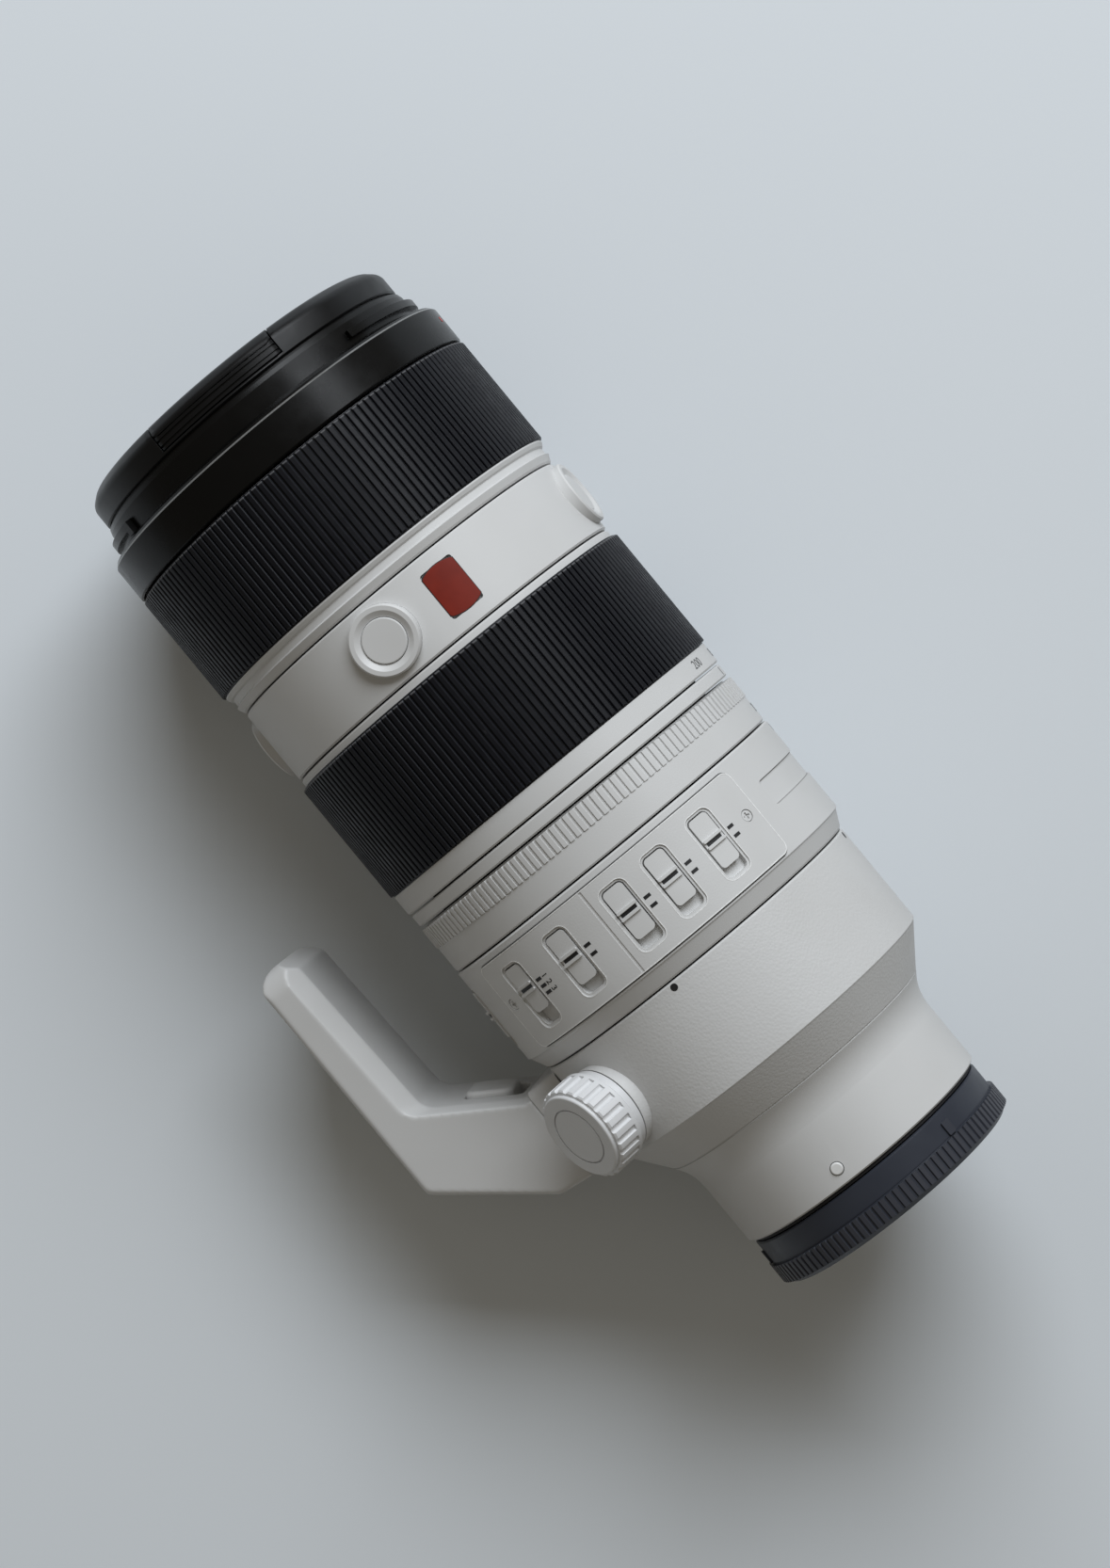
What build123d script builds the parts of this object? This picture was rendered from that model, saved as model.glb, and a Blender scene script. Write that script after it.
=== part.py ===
from build123d import *
import math
import os

os.makedirs("parts", exist_ok=True)

# A white telephoto zoom lens lying on its side, with a tripod foot and both caps on.
# The origin is on the optical axis at the mount flange. X runs forward, Z is up.
# Angles go round the barrel from the top towards the foot side, which is +Y.

# Clearances
seam_gap = 0.4
run_gap = 0.05
seat_gap = 0.02
slide_gap = 0.3
cut_over = 1.0
edge_bevel = 0.35

# Lengths along the axis, from the flange forward
neck_straight_length = 14.5
neck_length = 22.0
spigot_length = 9.0
collar_cone_length = 8.4
collar_band_length = 24.4
body_length = 27.4
body_slope_length = 3.6
aperture_smooth_length = 6.4
aperture_knurl_length = 5.4
index_band_length = 3.0
number_band_length = 4.9
zoom_rubber_length = 29.9
zoom_lip_length = 1.6
upper_band_length = 17.7
focus_trail_length = 5.0
focus_rubber_length = 26.8
front_ring_length = 8.2
front_bevel_length = 0.9
front_step_length = 1.0
bayonet_length = 4.6
filter_bevel_length = 1.0

# Outer radii: the body leads, the other rings stand out from it or back from it
body_radius = 42.3
body_rear_step = 2.0
body_slope_step = 0.4
aperture_step = 0.2
knurl_depth = 0.75
knurl_proud = 0.25
number_proud = 0.1
zoom_rubber_proud = 0.7
zoom_lip_step = 0.4
upper_band_step = 0.3
focus_trail_proud = 0.4
focus_rubber_proud = 1.4
focus_groove_depth = 0.5
front_ring_step = 0.1
front_bevel_drop = 0.7
bayonet_drop = 3.8
filter_lip_drop = 0.3
filter_thread_depth = 1.0
collar_step = 2.2
collar_cone_drop = 6.6
neck_cone_step = 0.2
neck_cone_rise = 2.7
neck_rear_drop = 0.4
body_rear_radius = body_radius - body_rear_step
body_slope_radius = body_radius - body_slope_step
aperture_radius = body_radius - aperture_step
knurl_top_radius = aperture_radius + knurl_proud
knurl_root_radius = knurl_top_radius - knurl_depth
index_radius = aperture_radius
number_radius = body_radius + number_proud
zoom_rubber_radius = body_radius + zoom_rubber_proud
zoom_lip_radius = body_radius - zoom_lip_step
upper_band_radius = body_radius - upper_band_step
focus_trail_radius = body_radius + focus_trail_proud
focus_rubber_radius = body_radius + focus_rubber_proud
front_ring_radius = focus_rubber_radius - front_ring_step
front_bevel_radius = front_ring_radius - front_bevel_drop
bayonet_radius = front_ring_radius - bayonet_drop
filter_lip_radius = bayonet_radius - filter_lip_drop
filter_thread_radius = filter_lip_radius - filter_thread_depth
collar_radius = body_radius - collar_step
collar_cone_radius = collar_radius - collar_cone_drop
neck_cone_radius = collar_cone_radius - neck_cone_step
neck_radius = neck_cone_radius - neck_cone_rise
neck_rear_radius = neck_radius - neck_rear_drop

# Inner carrying tube
shell_depth = 6.3
barrel_wall = 1.5
barrel_flange_thickness = 2.0
collar_seat_height = 1.65
collar_seat_setback = 2.2
shell_wall = 2.2
web_thickness = 1.8
spigot_drop = 1.3
spigot_wall = 2.5
barrel_radius = body_radius - shell_depth
barrel_bore = barrel_radius - barrel_wall
collar_seat_radius = barrel_radius + collar_seat_height
spigot_radius = neck_cone_radius - spigot_drop
spigot_bore = spigot_radius - spigot_wall
barrel_flange_radius = spigot_bore + edge_bevel

# Stations worked out from the lengths
neck_end = neck_length
spigot_end = neck_end + spigot_length
collar_start = neck_end + seam_gap
collar_corner = collar_start + collar_cone_length
collar_end = collar_corner + collar_band_length
body_start = collar_end + seam_gap
body_end = body_start + body_length
aperture_start = body_end + seam_gap
knurl_start = aperture_start + aperture_smooth_length
aperture_end = knurl_start + aperture_knurl_length
index_start = aperture_end + seam_gap
index_end = index_start + index_band_length
zoom_start = index_end + seam_gap
zoom_rubber_start = zoom_start + number_band_length
zoom_rubber_end = zoom_rubber_start + zoom_rubber_length
zoom_end = zoom_rubber_end + zoom_lip_length
band_start = zoom_end + seam_gap
band_end = band_start + upper_band_length
focus_start = band_end + seam_gap
focus_rubber_start = focus_start + focus_trail_length
focus_end = focus_rubber_start + focus_rubber_length
front_start = focus_end + seam_gap
front_ring_end = front_start + front_ring_length
front_face = front_ring_end + front_bevel_length
bayonet_start = front_face + front_step_length
bayonet_end = bayonet_start + bayonet_length
filter_end = bayonet_end + filter_bevel_length

# Angles round the barrel, in degrees
full_turn = 360.0
half_turn = full_turn / 2
quarter_turn = full_turn / 4
roll_angle = 12.0
foot_angle = roll_angle + quarter_turn
top_angle = roll_angle - quarter_turn


def turned(points):
    """Solid of revolution about the optical axis from (x, radius) points."""
    return revolve(make_face(Polyline(*points, close=True)), Axis.X)


def ring(x0, x1, inner, outer):
    """Plain ring about the optical axis."""
    return turned([(x0, inner), (x1, inner), (x1, outer), (x0, outer)])


def to_angle(shape, angle):
    """Turns a shape made at the top round to an angle of the barrel."""
    return Rot(-angle, 0, 0) * shape


def post(x, angle, low, high, radius):
    """Round post that stands out of the barrel between two distances from the axis."""
    pin = Cylinder(radius, high - low, align=(Align.CENTER, Align.CENTER, Align.MIN))
    return to_angle(Pos(x, 0, low) * pin, angle)


def pad(x0, x1, half_width, low, high, angle, corner):
    """Rounded block that stands out of the barrel."""
    outline = RectangleRounded(x1 - x0, 2 * half_width, corner)
    return to_angle(Pos((x0 + x1) / 2, 0, low) * extrude(outline, high - low), angle)


def sector(x0, x1, inner, outer, first, last):
    """Part of a ring between two angles of the barrel."""
    face = make_face(Polyline((x0, inner), (x1, inner), (x1, outer), (x0, outer), close=True))
    return to_angle(revolve(face, Axis.X, last - first), last - quarter_turn)


def rounded_sector(x0, x1, inner, outer, first, last, corner):
    """Part of a ring whose four corners are rounded, as a plate on the barrel has."""
    plate = sector(x0, x1, inner, outer, first, last)
    middle = (inner + outer) / 2
    edges = [e for e in plate.edges()
             if e.geom_type == GeomType.LINE and abs(e.length - (outer - inner)) < seat_gap]
    edges = [e for e in edges if abs(math.hypot(e.center().Y, e.center().Z) - middle) < shell_wall]
    return fillet(edges, corner)


def ribbed(x0, x1, inner, root, top, count, root_share, top_share):
    """Ring with straight ribs along the axis; the shares are of the pitch."""
    pitch = 2 * math.pi / count
    points = []
    for i in range(count):
        for share, radius in ((-root_share, root), (-top_share, top), (top_share, top), (root_share, root)):
            a = pitch * (i + share / 2)
            points.append((radius * math.sin(a), radius * math.cos(a)))
    face = make_face(Polyline(*points, close=True)) - Circle(inner)
    return Pos(x0, 0, 0) * (Plane.YZ * extrude(face, x1 - x0))


def group(shapes):
    """Several separate solids in one node."""
    return Compound(children=list(shapes))


# Inner carrying tube: everything is built on it, and the rings turn on it
zoom_key_start = 9.0
zoom_key_length = 4.0
zoom_key_angle = half_turn + roll_angle
zoom_key_half_angle = 4.0
zoom_to_tele = 15.0
zoom_to_wide = 50.0
zoom_key_margin = 1.5
barrel_front_inset = 4.0
barrel_end = front_start + barrel_front_inset


def make_inner_barrel():
    seat_start = spigot_end + collar_seat_setback
    tube = turned([
        (spigot_end, barrel_flange_radius),
        (spigot_end + barrel_flange_thickness, barrel_flange_radius),
        (spigot_end + barrel_flange_thickness, barrel_bore),
        (barrel_end, barrel_bore),
        (barrel_end, barrel_radius),
        (body_start, barrel_radius),
        (body_start, collar_seat_radius),
        (seat_start, collar_seat_radius),
        (seat_start, barrel_radius),
        (spigot_end, barrel_radius),
    ])
    x0 = zoom_start + zoom_key_start
    reach = zoom_key_half_angle + zoom_key_margin
    slot = sector(x0 - slide_gap, x0 + zoom_key_length + slide_gap,
                  barrel_bore - cut_over, barrel_radius + cut_over,
                  zoom_key_angle - zoom_to_tele - reach, zoom_key_angle + zoom_to_wide + reach)
    return tube - slot


# Mount end: metal bayonet, its screws, seal, contacts and index dot
mount_flange_step = 2.1
throat_depth = 7.0
throat_wall = 1.5
mount_flange_thickness = 3.0
mount_tube_length = 5.0
mount_lug_height = 2.2
mount_lug_length = 1.6
mount_lug_angle = 44.0
mount_lug_count = 3
mount_screw_count = 4
mount_screw_first = top_angle + half_turn / 4
mount_screw_inset = 2.5
mount_screw_head_radius = 1.7
mount_screw_head_height = 1.0
mount_screw_radius = 0.9
mount_screw_length = 6.0
mount_seal_wall = 0.8
mount_seal_proud = 0.8
mount_seal_depth = 1.2
neck_boss_length = 4.0
neck_boss_width = 4.5
neck_wall = 2.6
mount_flange_radius = neck_radius - mount_flange_step
throat_radius = mount_flange_radius - throat_depth
mount_screw_circle = mount_flange_radius - mount_screw_inset
neck_boss_bore = mount_flange_radius - neck_boss_width
dot_place = 3.7
dot_radius = 1.35
dot_proud = 0.35
dot_sink = 1.0


def mount_lug_centres(start):
    return [start + full_turn * i / mount_lug_count for i in range(mount_lug_count)]


def mount_screw_places():
    return [mount_screw_first + full_turn * i / mount_screw_count for i in range(mount_screw_count)]


def along_post(x0, x1, angle, distance, radius):
    """Round rod along the axis at a distance from it."""
    rod = Cylinder(radius, x1 - x0, align=(Align.CENTER, Align.CENTER, Align.MIN))
    return to_angle(Pos(x0, 0, distance) * (Rot(0, quarter_turn, 0) * rod), angle)


def make_mount_flange():
    tube_radius = throat_radius + throat_wall
    flange = turned([
        (-mount_tube_length, throat_radius),
        (mount_flange_thickness, throat_radius),
        (mount_flange_thickness, mount_flange_radius),
        (0, mount_flange_radius),
        (0, tube_radius),
        (-mount_tube_length, tube_radius),
    ])
    for centre in mount_lug_centres(top_angle):
        flange += sector(-mount_tube_length, mount_lug_length - mount_tube_length,
                         tube_radius - throat_wall / 2, tube_radius + mount_lug_height,
                         centre - mount_lug_angle / 2, centre + mount_lug_angle / 2)
    for angle in mount_screw_places():
        flange -= along_post(-cut_over, mount_screw_head_height + seat_gap, angle,
                             mount_screw_circle, mount_screw_head_radius + seat_gap)
        flange -= along_post(0, mount_flange_thickness + cut_over, angle,
                             mount_screw_circle, mount_screw_radius + seat_gap)
    return flange


def make_mount_screws():
    screws = []
    for angle in mount_screw_places():
        head = along_post(0, mount_screw_head_height, angle, mount_screw_circle, mount_screw_head_radius)
        shank = along_post(0, mount_screw_length, angle, mount_screw_circle, mount_screw_radius)
        screws.append(head + shank)
    return group(screws)


def make_mount_seal():
    inner = mount_flange_radius + seat_gap
    return ring(-mount_seal_proud, mount_seal_depth, inner, inner + mount_seal_wall)


contact_arc = 62.0
contact_depth = 3.8
contact_front = 2.0
contact_setback = 0.4
contact_pin_count = 10
contact_pin_radius = 0.55
contact_pin_proud = 0.25


def make_contact_block():
    outer = throat_radius - seat_gap
    return sector(contact_setback - mount_tube_length, contact_front, outer - contact_depth, outer,
                  foot_angle - contact_arc / 2, foot_angle + contact_arc / 2)


def make_contact_pins():
    step = contact_arc / (contact_pin_count + 1)
    face = contact_setback - mount_tube_length
    pins = []
    for i in range(contact_pin_count):
        angle = foot_angle + (i - (contact_pin_count - 1) / 2) * step
        pins.append(along_post(face - contact_pin_proud, face, angle,
                               throat_radius - seat_gap - contact_depth / 2, contact_pin_radius))
    return group(pins)


def make_rear_housing():
    seal_bore = mount_flange_radius + mount_seal_wall + 2 * seat_gap
    flange_bore = mount_flange_radius + seat_gap
    boss_end = mount_flange_thickness + neck_boss_length
    neck_bore = neck_radius - neck_wall
    waist = neck_straight_length
    outer = [
        Line((0, seal_bore), (0, neck_rear_radius)),
        Line((0, neck_rear_radius), (edge_bevel, neck_radius)),
        Line((edge_bevel, neck_radius), (waist, neck_radius)),
        TangentArc((waist, neck_radius), (neck_end, neck_cone_radius), tangent=(1, 0)),
        Polyline(
            (neck_end, neck_cone_radius), (neck_end, spigot_radius),
            (spigot_end, spigot_radius), (spigot_end, spigot_bore),
            (neck_end, spigot_bore), (neck_end - neck_wall, neck_bore),
            (boss_end, neck_bore), (boss_end, neck_boss_bore),
            (mount_flange_thickness, neck_boss_bore), (mount_flange_thickness, flange_bore),
            (mount_seal_depth, flange_bore), (mount_seal_depth, seal_bore), (0, seal_bore),
        ),
    ]
    housing = revolve(make_face(outer), Axis.X)
    for angle in mount_screw_places():
        housing -= along_post(mount_flange_thickness - cut_over, mount_screw_length + seat_gap, angle,
                              mount_screw_circle, mount_screw_radius + seat_gap)
    return housing - post(dot_place, roll_angle, neck_radius - dot_sink, neck_radius + cut_over,
                          dot_radius + seat_gap)


def make_mount_dot():
    low = neck_radius - dot_sink
    dot = post(dot_place, 0, low, neck_radius + dot_proud, dot_radius)
    dot = fillet(dot.edges().group_by(Axis.Z)[-1], dot_proud)
    return to_angle(dot, roll_angle)


# Collar that carries the foot and turns round the barrel, with its lock knob
collar_bore = collar_seat_radius + run_gap
collar_lip_length = 2.0
pedestal_height = 4.9
pedestal_inset = 1.0
pedestal_corner = 2.0
pedestal_reach = collar_radius + pedestal_height
foot_width = 30.0
knob_angle = foot_angle - half_turn / 4
knob_inset = 11.2
knob_place = collar_corner + knob_inset
knob_radius = 10.8
knob_base_step = 0.9
knob_base_radius = knob_radius - knob_base_step
knob_groove_depth = 0.55
knob_groove_count = 24
knob_groove_radius = 0.8
knob_base_height = 1.8
knob_shoulder_height = 1.2
knob_height = 9.4
knob_face_step = 1.0
knob_face_radius = knob_radius - knob_face_step
knob_face_height = 0.9
knob_rim_width = 3.1
knob_disc_radius = knob_face_radius - knob_rim_width
knob_disc_groove = 0.35
knob_disc_depth = 0.5
knob_boss_height = 1.4
knob_stem_radius = 3.0
knob_stem_length = 2.6
knob_top = collar_radius + knob_boss_height + slide_gap + knob_height


def make_collar_ring():
    shell = turned([
        (collar_start, spigot_radius + run_gap),
        (collar_start, collar_cone_radius),
        (collar_corner, collar_radius - edge_bevel),
        (collar_corner + edge_bevel, collar_radius),
        (collar_end - edge_bevel, collar_radius),
        (collar_end, collar_radius - edge_bevel),
        (collar_end, collar_bore),
        (collar_corner + edge_bevel, collar_bore),
        (collar_start + collar_lip_length, spigot_radius + run_gap),
    ])
    pedestal = pad(collar_corner + pedestal_inset, collar_end - pedestal_inset, foot_width / 2,
                   collar_bore, pedestal_reach, foot_angle, pedestal_corner)
    boss = post(knob_place, knob_angle, collar_bore, collar_radius + knob_boss_height, knob_base_radius)
    bore = ring(collar_start, collar_end, 0, collar_bore)
    shell += (pedestal + boss) - bore
    top = collar_radius + knob_boss_height
    return shell - post(knob_place, knob_angle, top - knob_stem_length - slide_gap, top + cut_over,
                        knob_stem_radius + run_gap)


def make_lock_knob():
    foot = collar_radius + knob_boss_height + slide_gap
    stem = post(knob_place, 0, foot - slide_gap - knob_stem_length, foot + knob_base_height, knob_stem_radius)
    base = post(knob_place, 0, foot, foot + knob_base_height, knob_base_radius)
    grip_top = knob_top - knob_face_height
    grip = post(knob_place, 0, foot + knob_base_height, grip_top, knob_radius)
    grip = chamfer(grip.edges().group_by(Axis.Z)[0] + grip.edges().group_by(Axis.Z)[-1], edge_bevel)
    for i in range(knob_groove_count):
        a = 2 * math.pi * i / knob_groove_count
        reach = knob_radius + knob_groove_radius - knob_groove_depth
        groove = post(knob_place, 0, foot + knob_base_height + knob_shoulder_height, grip_top + cut_over,
                      knob_groove_radius)
        grip -= Pos(reach * math.cos(a), reach * math.sin(a), 0) * groove
    face = post(knob_place, 0, grip_top, knob_top, knob_face_radius)
    face = fillet(face.edges().group_by(Axis.Z)[-1], knob_face_height / 2)
    groove = post(knob_place, 0, knob_top - knob_disc_depth, knob_top + cut_over, knob_disc_radius)
    groove -= post(knob_place, 0, 0, knob_top + 2 * cut_over, knob_disc_radius - knob_disc_groove)
    return to_angle((stem + base + grip + face) - groove, knob_angle)


# Tripod foot: an arm from the collar, a long plate with the threaded hole, and the
# lever in the front of the arm that lets the foot go
foot_drop = 36.1
foot_rear_inset = 1.2
foot_front_inset = 1.7
foot_shoulder_step = 1.0
foot_shoulder_rise = 8.2
foot_sweep = 18.5
foot_plate_length = 58.4
foot_inner_setback = 14.8
foot_inner_shoulder_rise = 1.5
foot_heel_thickness = 10.8
foot_toe_thickness = 9.2
foot_chamfer = 3.5
foot_arm_chamfer = 1.0
foot_rim_bevel = 0.8
foot_corner_radius = 2.0
foot_toe_radius = 4.2
foot_bend_radius = 5.0
foot_toe_corner = 6.0
foot_joint_gap = 0.05
socket_inset = 33.5
socket_radius = 2.6
socket_depth = 8.0
release_place_share = 0.41
release_length = 10.5
release_width = 12.0
release_thickness = 3.2
release_proud = 1.3
release_corner = 2.4
release_dome = 1.0
release_travel = 2.0
foot_top = pedestal_reach + foot_joint_gap
foot_reach = collar_radius + foot_drop
foot_rear = collar_corner + foot_rear_inset
foot_heel = foot_rear + foot_sweep
foot_toe = foot_heel + foot_plate_length
foot_inner_heel = foot_heel + foot_inner_setback
foot_inner_shoulder = foot_top + foot_inner_shoulder_rise
foot_arm_front = collar_end - foot_front_inset
foot_arm_run = foot_inner_heel - foot_arm_front
foot_arm_rise = foot_reach - foot_heel_thickness - foot_inner_shoulder


def foot_section(place, chamfer_share, rim):
    """Side view of the foot at a distance from its middle; a chamfer narrows its inner side."""
    lowered = foot_chamfer * chamfer_share
    set_back = foot_arm_chamfer * chamfer_share
    bend = foot_inner_heel + lowered * foot_arm_run / foot_arm_rise - set_back
    outline = FilletPolyline(
        (foot_rear + rim, foot_top),
        (foot_rear + foot_shoulder_step + rim, foot_top + foot_shoulder_rise),
        (foot_heel + rim, foot_reach - rim),
        (foot_toe, foot_reach - rim),
        (foot_toe, foot_reach - foot_toe_thickness + lowered),
        (bend, foot_reach - foot_heel_thickness + lowered),
        (foot_arm_front - set_back, foot_inner_shoulder),
        (foot_arm_front - set_back, foot_top),
        radius=(0, foot_corner_radius, foot_corner_radius, foot_toe_radius, 0, foot_bend_radius,
                foot_inner_shoulder_rise / 2, 0),
        close=True,
    )
    return Pos(0, place, 0) * make_face(Plane.XZ * outline)


def on_arm(shape):
    """Moves a shape made flat at the origin to the lever's place on the front of the arm."""
    lean = math.degrees(math.atan2(foot_arm_rise, foot_arm_run))
    x = foot_arm_front + foot_arm_run * release_place_share
    reach = foot_inner_shoulder + foot_arm_rise * release_place_share
    return Pos(x, 0, reach) * (Rot(0, half_turn - lean, 0) * shape)


def make_tripod_foot():
    half = foot_width / 2
    foot = extrude(foot_section(0, 0, 0), half - foot_chamfer, both=True)
    for side in (-1, 1):
        foot += loft([
            foot_section(side * (half - foot_chamfer), 0, 0),
            foot_section(side * (half - foot_rim_bevel), 1 - foot_rim_bevel / foot_chamfer, 0),
            foot_section(side * half, 1, foot_rim_bevel),
        ], ruled=True)
    toe_inner = foot_reach - foot_toe_thickness
    wedge = make_face(Plane.XZ * Polyline(
        (foot_toe + cut_over, toe_inner + foot_chamfer + cut_over),
        (foot_toe - foot_chamfer - cut_over, toe_inner - cut_over),
        (foot_toe + cut_over, toe_inner - cut_over),
        close=True,
    ))
    foot -= extrude(wedge, half + cut_over, both=True)
    foot &= pad(foot_rear - foot_width, foot_toe, half, 0, foot_reach + cut_over, 0, foot_toe_corner)
    pocket_length = release_length + release_travel + 2 * slide_gap
    pocket = extrude(RectangleRounded(pocket_length, release_width + 2 * slide_gap, release_corner),
                     release_thickness + slide_gap, both=True)
    foot -= on_arm(Pos(release_travel / 2, 0, 0) * pocket)
    foot -= post(foot_heel + socket_inset, 0, foot_reach - socket_depth, foot_reach + cut_over, socket_radius)
    return to_angle(foot, foot_angle)


def make_foot_release():
    plate = extrude(RectangleRounded(release_length, release_width, release_corner),
                    release_thickness + release_proud)
    plate = fillet(plate.edges().group_by(Axis.Z)[-1], release_dome)
    return to_angle(on_arm(Pos(0, 0, -release_thickness) * plate), foot_angle)


# Main housing with the switch panel
panel_start = 4.6
panel_end_inset = 1.8
panel_first = -40.4
panel_last = 61.4
panel_split = 15.0
panel_split_gap = 0.7
panel_depth = 1.3
panel_floor = body_radius - panel_depth
panel_proud = 0.5
panel_corner = 2.2
slot_start = 7.9
slot_length = 14.5
slot_half_width = 2.75
slot_corner = 1.3
slot_rim = 0.6
slot_rim_depth = 0.35
slider_length = 11.8
three_way_slider_length = 10.9
slider_proud = 0.35
slider_ridge_length = 0.6
slider_ridge_proud = 0.5
slider_ridge_gap = 1.0
switch_angles_by_name = {
    "focus_mode_slider": -23.2,
    "full_time_slider": -6.9,
    "focus_range_slider": 7.5,
    "stabiliser_slider": 28.9,
    "stabiliser_mode_slider": 48.4,
    "iris_lock_slider": 84.0,
    "click_slider": 124.0,
}
panel_screw_angles = (-36.1, 58.1)
panel_screw_place = 15.6
panel_screw_radius = 1.35
panel_screw_sink = 0.15
name_recess_start = 13.1
name_recess_length = 6.1
name_recess_depth = 0.4
name_recess_half_angle = 30.0


def panel_plate(first, last, low, high, grow):
    x0 = body_start + panel_start - grow
    x1 = body_end - panel_end_inset + grow
    return rounded_sector(x0, x1, low, high, first, last, panel_corner)


def switch_slot(angle, low, surface):
    """Slot for a slider, with a sunk rim round it."""
    x0 = body_start + slot_start
    x1 = x0 + slot_length
    opening = pad(x0, x1, slot_half_width, low, surface + cut_over, angle, slot_corner)
    rim = pad(x0 - slot_rim, x1 + slot_rim, slot_half_width + slot_rim, low, surface + cut_over, angle,
              slot_corner + slot_rim)
    return opening + (rim - ring(x0 - cut_over, x1 + cut_over, 0, surface - slot_rim_depth))


def make_main_housing():
    inner = barrel_radius + seat_gap
    shell_bore = panel_floor - web_thickness
    shell = turned([
        (body_start, inner),
        (body_start, body_rear_radius - edge_bevel),
        (body_start + edge_bevel, body_rear_radius),
        (body_start + body_slope_length, body_slope_radius),
        (body_start + body_slope_length + edge_bevel, body_radius),
        (body_end - edge_bevel, body_radius),
        (body_end, body_radius - edge_bevel),
        (body_end, inner),
        (body_end - web_thickness, inner),
        (body_end - web_thickness, shell_bore),
        (body_start + web_thickness, shell_bore),
        (body_start + web_thickness, inner),
    ])
    grow = math.degrees(seat_gap / body_radius)
    shell -= panel_plate(panel_first - grow, panel_last + grow, panel_floor, body_radius + cut_over, seat_gap)
    name_start = body_start + name_recess_start
    shell -= rounded_sector(name_start, name_start + name_recess_length,
                            body_radius - name_recess_depth, body_radius + cut_over,
                            top_angle - name_recess_half_angle, top_angle + name_recess_half_angle,
                            panel_corner / 2)
    for name in ("iris_lock_slider", "click_slider"):
        shell -= switch_slot(switch_angles_by_name[name], panel_floor, body_radius)
    return shell


def make_switch_plates():
    """Both halves of the switch panel, cut apart by a groove: focus plate, then mode plate."""
    low = panel_floor + seat_gap
    top = body_radius + panel_proud
    whole = panel_plate(panel_first, panel_last, low, top, 0)
    groove = Box(body_length, panel_split_gap, body_radius + cut_over,
                 align=(Align.MIN, Align.CENTER, Align.MIN))
    whole -= to_angle(Pos(body_start, 0, 0) * groove, panel_split)
    for angle in switch_angles_by_name.values():
        if panel_first < angle < panel_last:
            whole -= switch_slot(angle, low - cut_over, top)
    for angle in panel_screw_angles:
        whole -= post(body_start + panel_screw_place, angle, panel_floor, top + cut_over,
                      panel_screw_radius + seat_gap)
    return sorted(whole.solids(), key=lambda plate: plate.center().Y)


def make_panel_screws():
    x = body_start + panel_screw_place
    top = body_radius + panel_proud - panel_screw_sink
    low = panel_floor + seat_gap
    return group(post(x, angle, low, top, panel_screw_radius) for angle in panel_screw_angles)


def make_slider(angle, length):
    """Thumb slide at the front of its slot, with two thin ridges to push it by."""
    x1 = body_start + slot_start + slot_length - slide_gap
    x0 = x1 - length
    half = slot_half_width - slide_gap
    corner = slot_corner - slide_gap
    top = body_radius + slider_proud
    foot = panel_floor + slide_gap
    slider = pad(x0, x1, half, foot, top + cut_over, angle, corner)
    slider &= ring(x0 - cut_over, x1 + cut_over, foot - cut_over, top)
    middle = (x0 + x1) / 2
    for side in (-1, 1):
        place = middle + side * (slider_ridge_length + slider_ridge_gap) / 2
        ridge = pad(place - slider_ridge_length / 2, place + slider_ridge_length / 2, half,
                    foot + slide_gap, top + cut_over, angle, slider_ridge_length / 2 - seat_gap)
        slider += ridge & ring(x0, x1, foot, top + slider_ridge_proud)
    return slider


# Aperture ring and the fixed index band before it
knurl_count = 150
knurl_root_share = 0.72
knurl_top_share = 0.56


def make_aperture_ring():
    inner = barrel_radius + run_gap
    wall = knurl_root_radius - shell_wall
    core = turned([
        (aperture_start, inner), (aperture_start, aperture_radius - edge_bevel),
        (aperture_start + edge_bevel, aperture_radius), (knurl_start, aperture_radius),
        (knurl_start, knurl_root_radius - shell_wall / 2), (aperture_end, knurl_root_radius - shell_wall / 2),
        (aperture_end, inner), (aperture_end - web_thickness, inner), (aperture_end - web_thickness, wall),
        (aperture_start + web_thickness, wall), (aperture_start + web_thickness, inner),
    ])
    teeth = ribbed(knurl_start, aperture_end - edge_bevel, knurl_root_radius - shell_wall / 2,
                   knurl_root_radius, knurl_top_radius, knurl_count, knurl_root_share, knurl_top_share)
    return core + teeth


def make_index_band():
    return turned([
        (index_start, barrel_radius + seat_gap), (index_start, index_radius - edge_bevel),
        (index_start + edge_bevel, index_radius), (index_end - edge_bevel, index_radius),
        (index_end, index_radius - edge_bevel), (index_end, barrel_radius + seat_gap),
    ])


# Zoom ring with its rubber grip, and the cam tube inside that it turns
grip_wall = 1.6
grip_rib_depth = 0.55
grip_rib_count = 165
grip_root_share = 0.70
grip_top_share = 0.52
cam_tube_wall = 1.4
cam_tube_inset = 0.6
cam_tube_radius = barrel_bore - run_gap
grip_end_gap = 0.15


def make_zoom_ring():
    inner = barrel_radius + run_gap
    seat = zoom_rubber_radius - grip_wall
    wall = seat - shell_wall
    return turned([
        (zoom_start, inner), (zoom_start, number_radius - edge_bevel),
        (zoom_start + edge_bevel, number_radius), (zoom_rubber_start, number_radius),
        (zoom_rubber_start, seat), (zoom_rubber_end, seat), (zoom_rubber_end, zoom_lip_radius),
        (zoom_end - edge_bevel, zoom_lip_radius), (zoom_end, zoom_lip_radius - edge_bevel),
        (zoom_end, inner), (zoom_end - web_thickness, inner), (zoom_end - web_thickness, wall),
        (zoom_start + web_thickness, wall), (zoom_start + web_thickness, inner),
    ])


def make_rubber(start, end, radius):
    return ribbed(start + grip_end_gap, end - grip_end_gap, radius - grip_wall + seat_gap,
                  radius - grip_rib_depth, radius, grip_rib_count, grip_root_share, grip_top_share)


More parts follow.
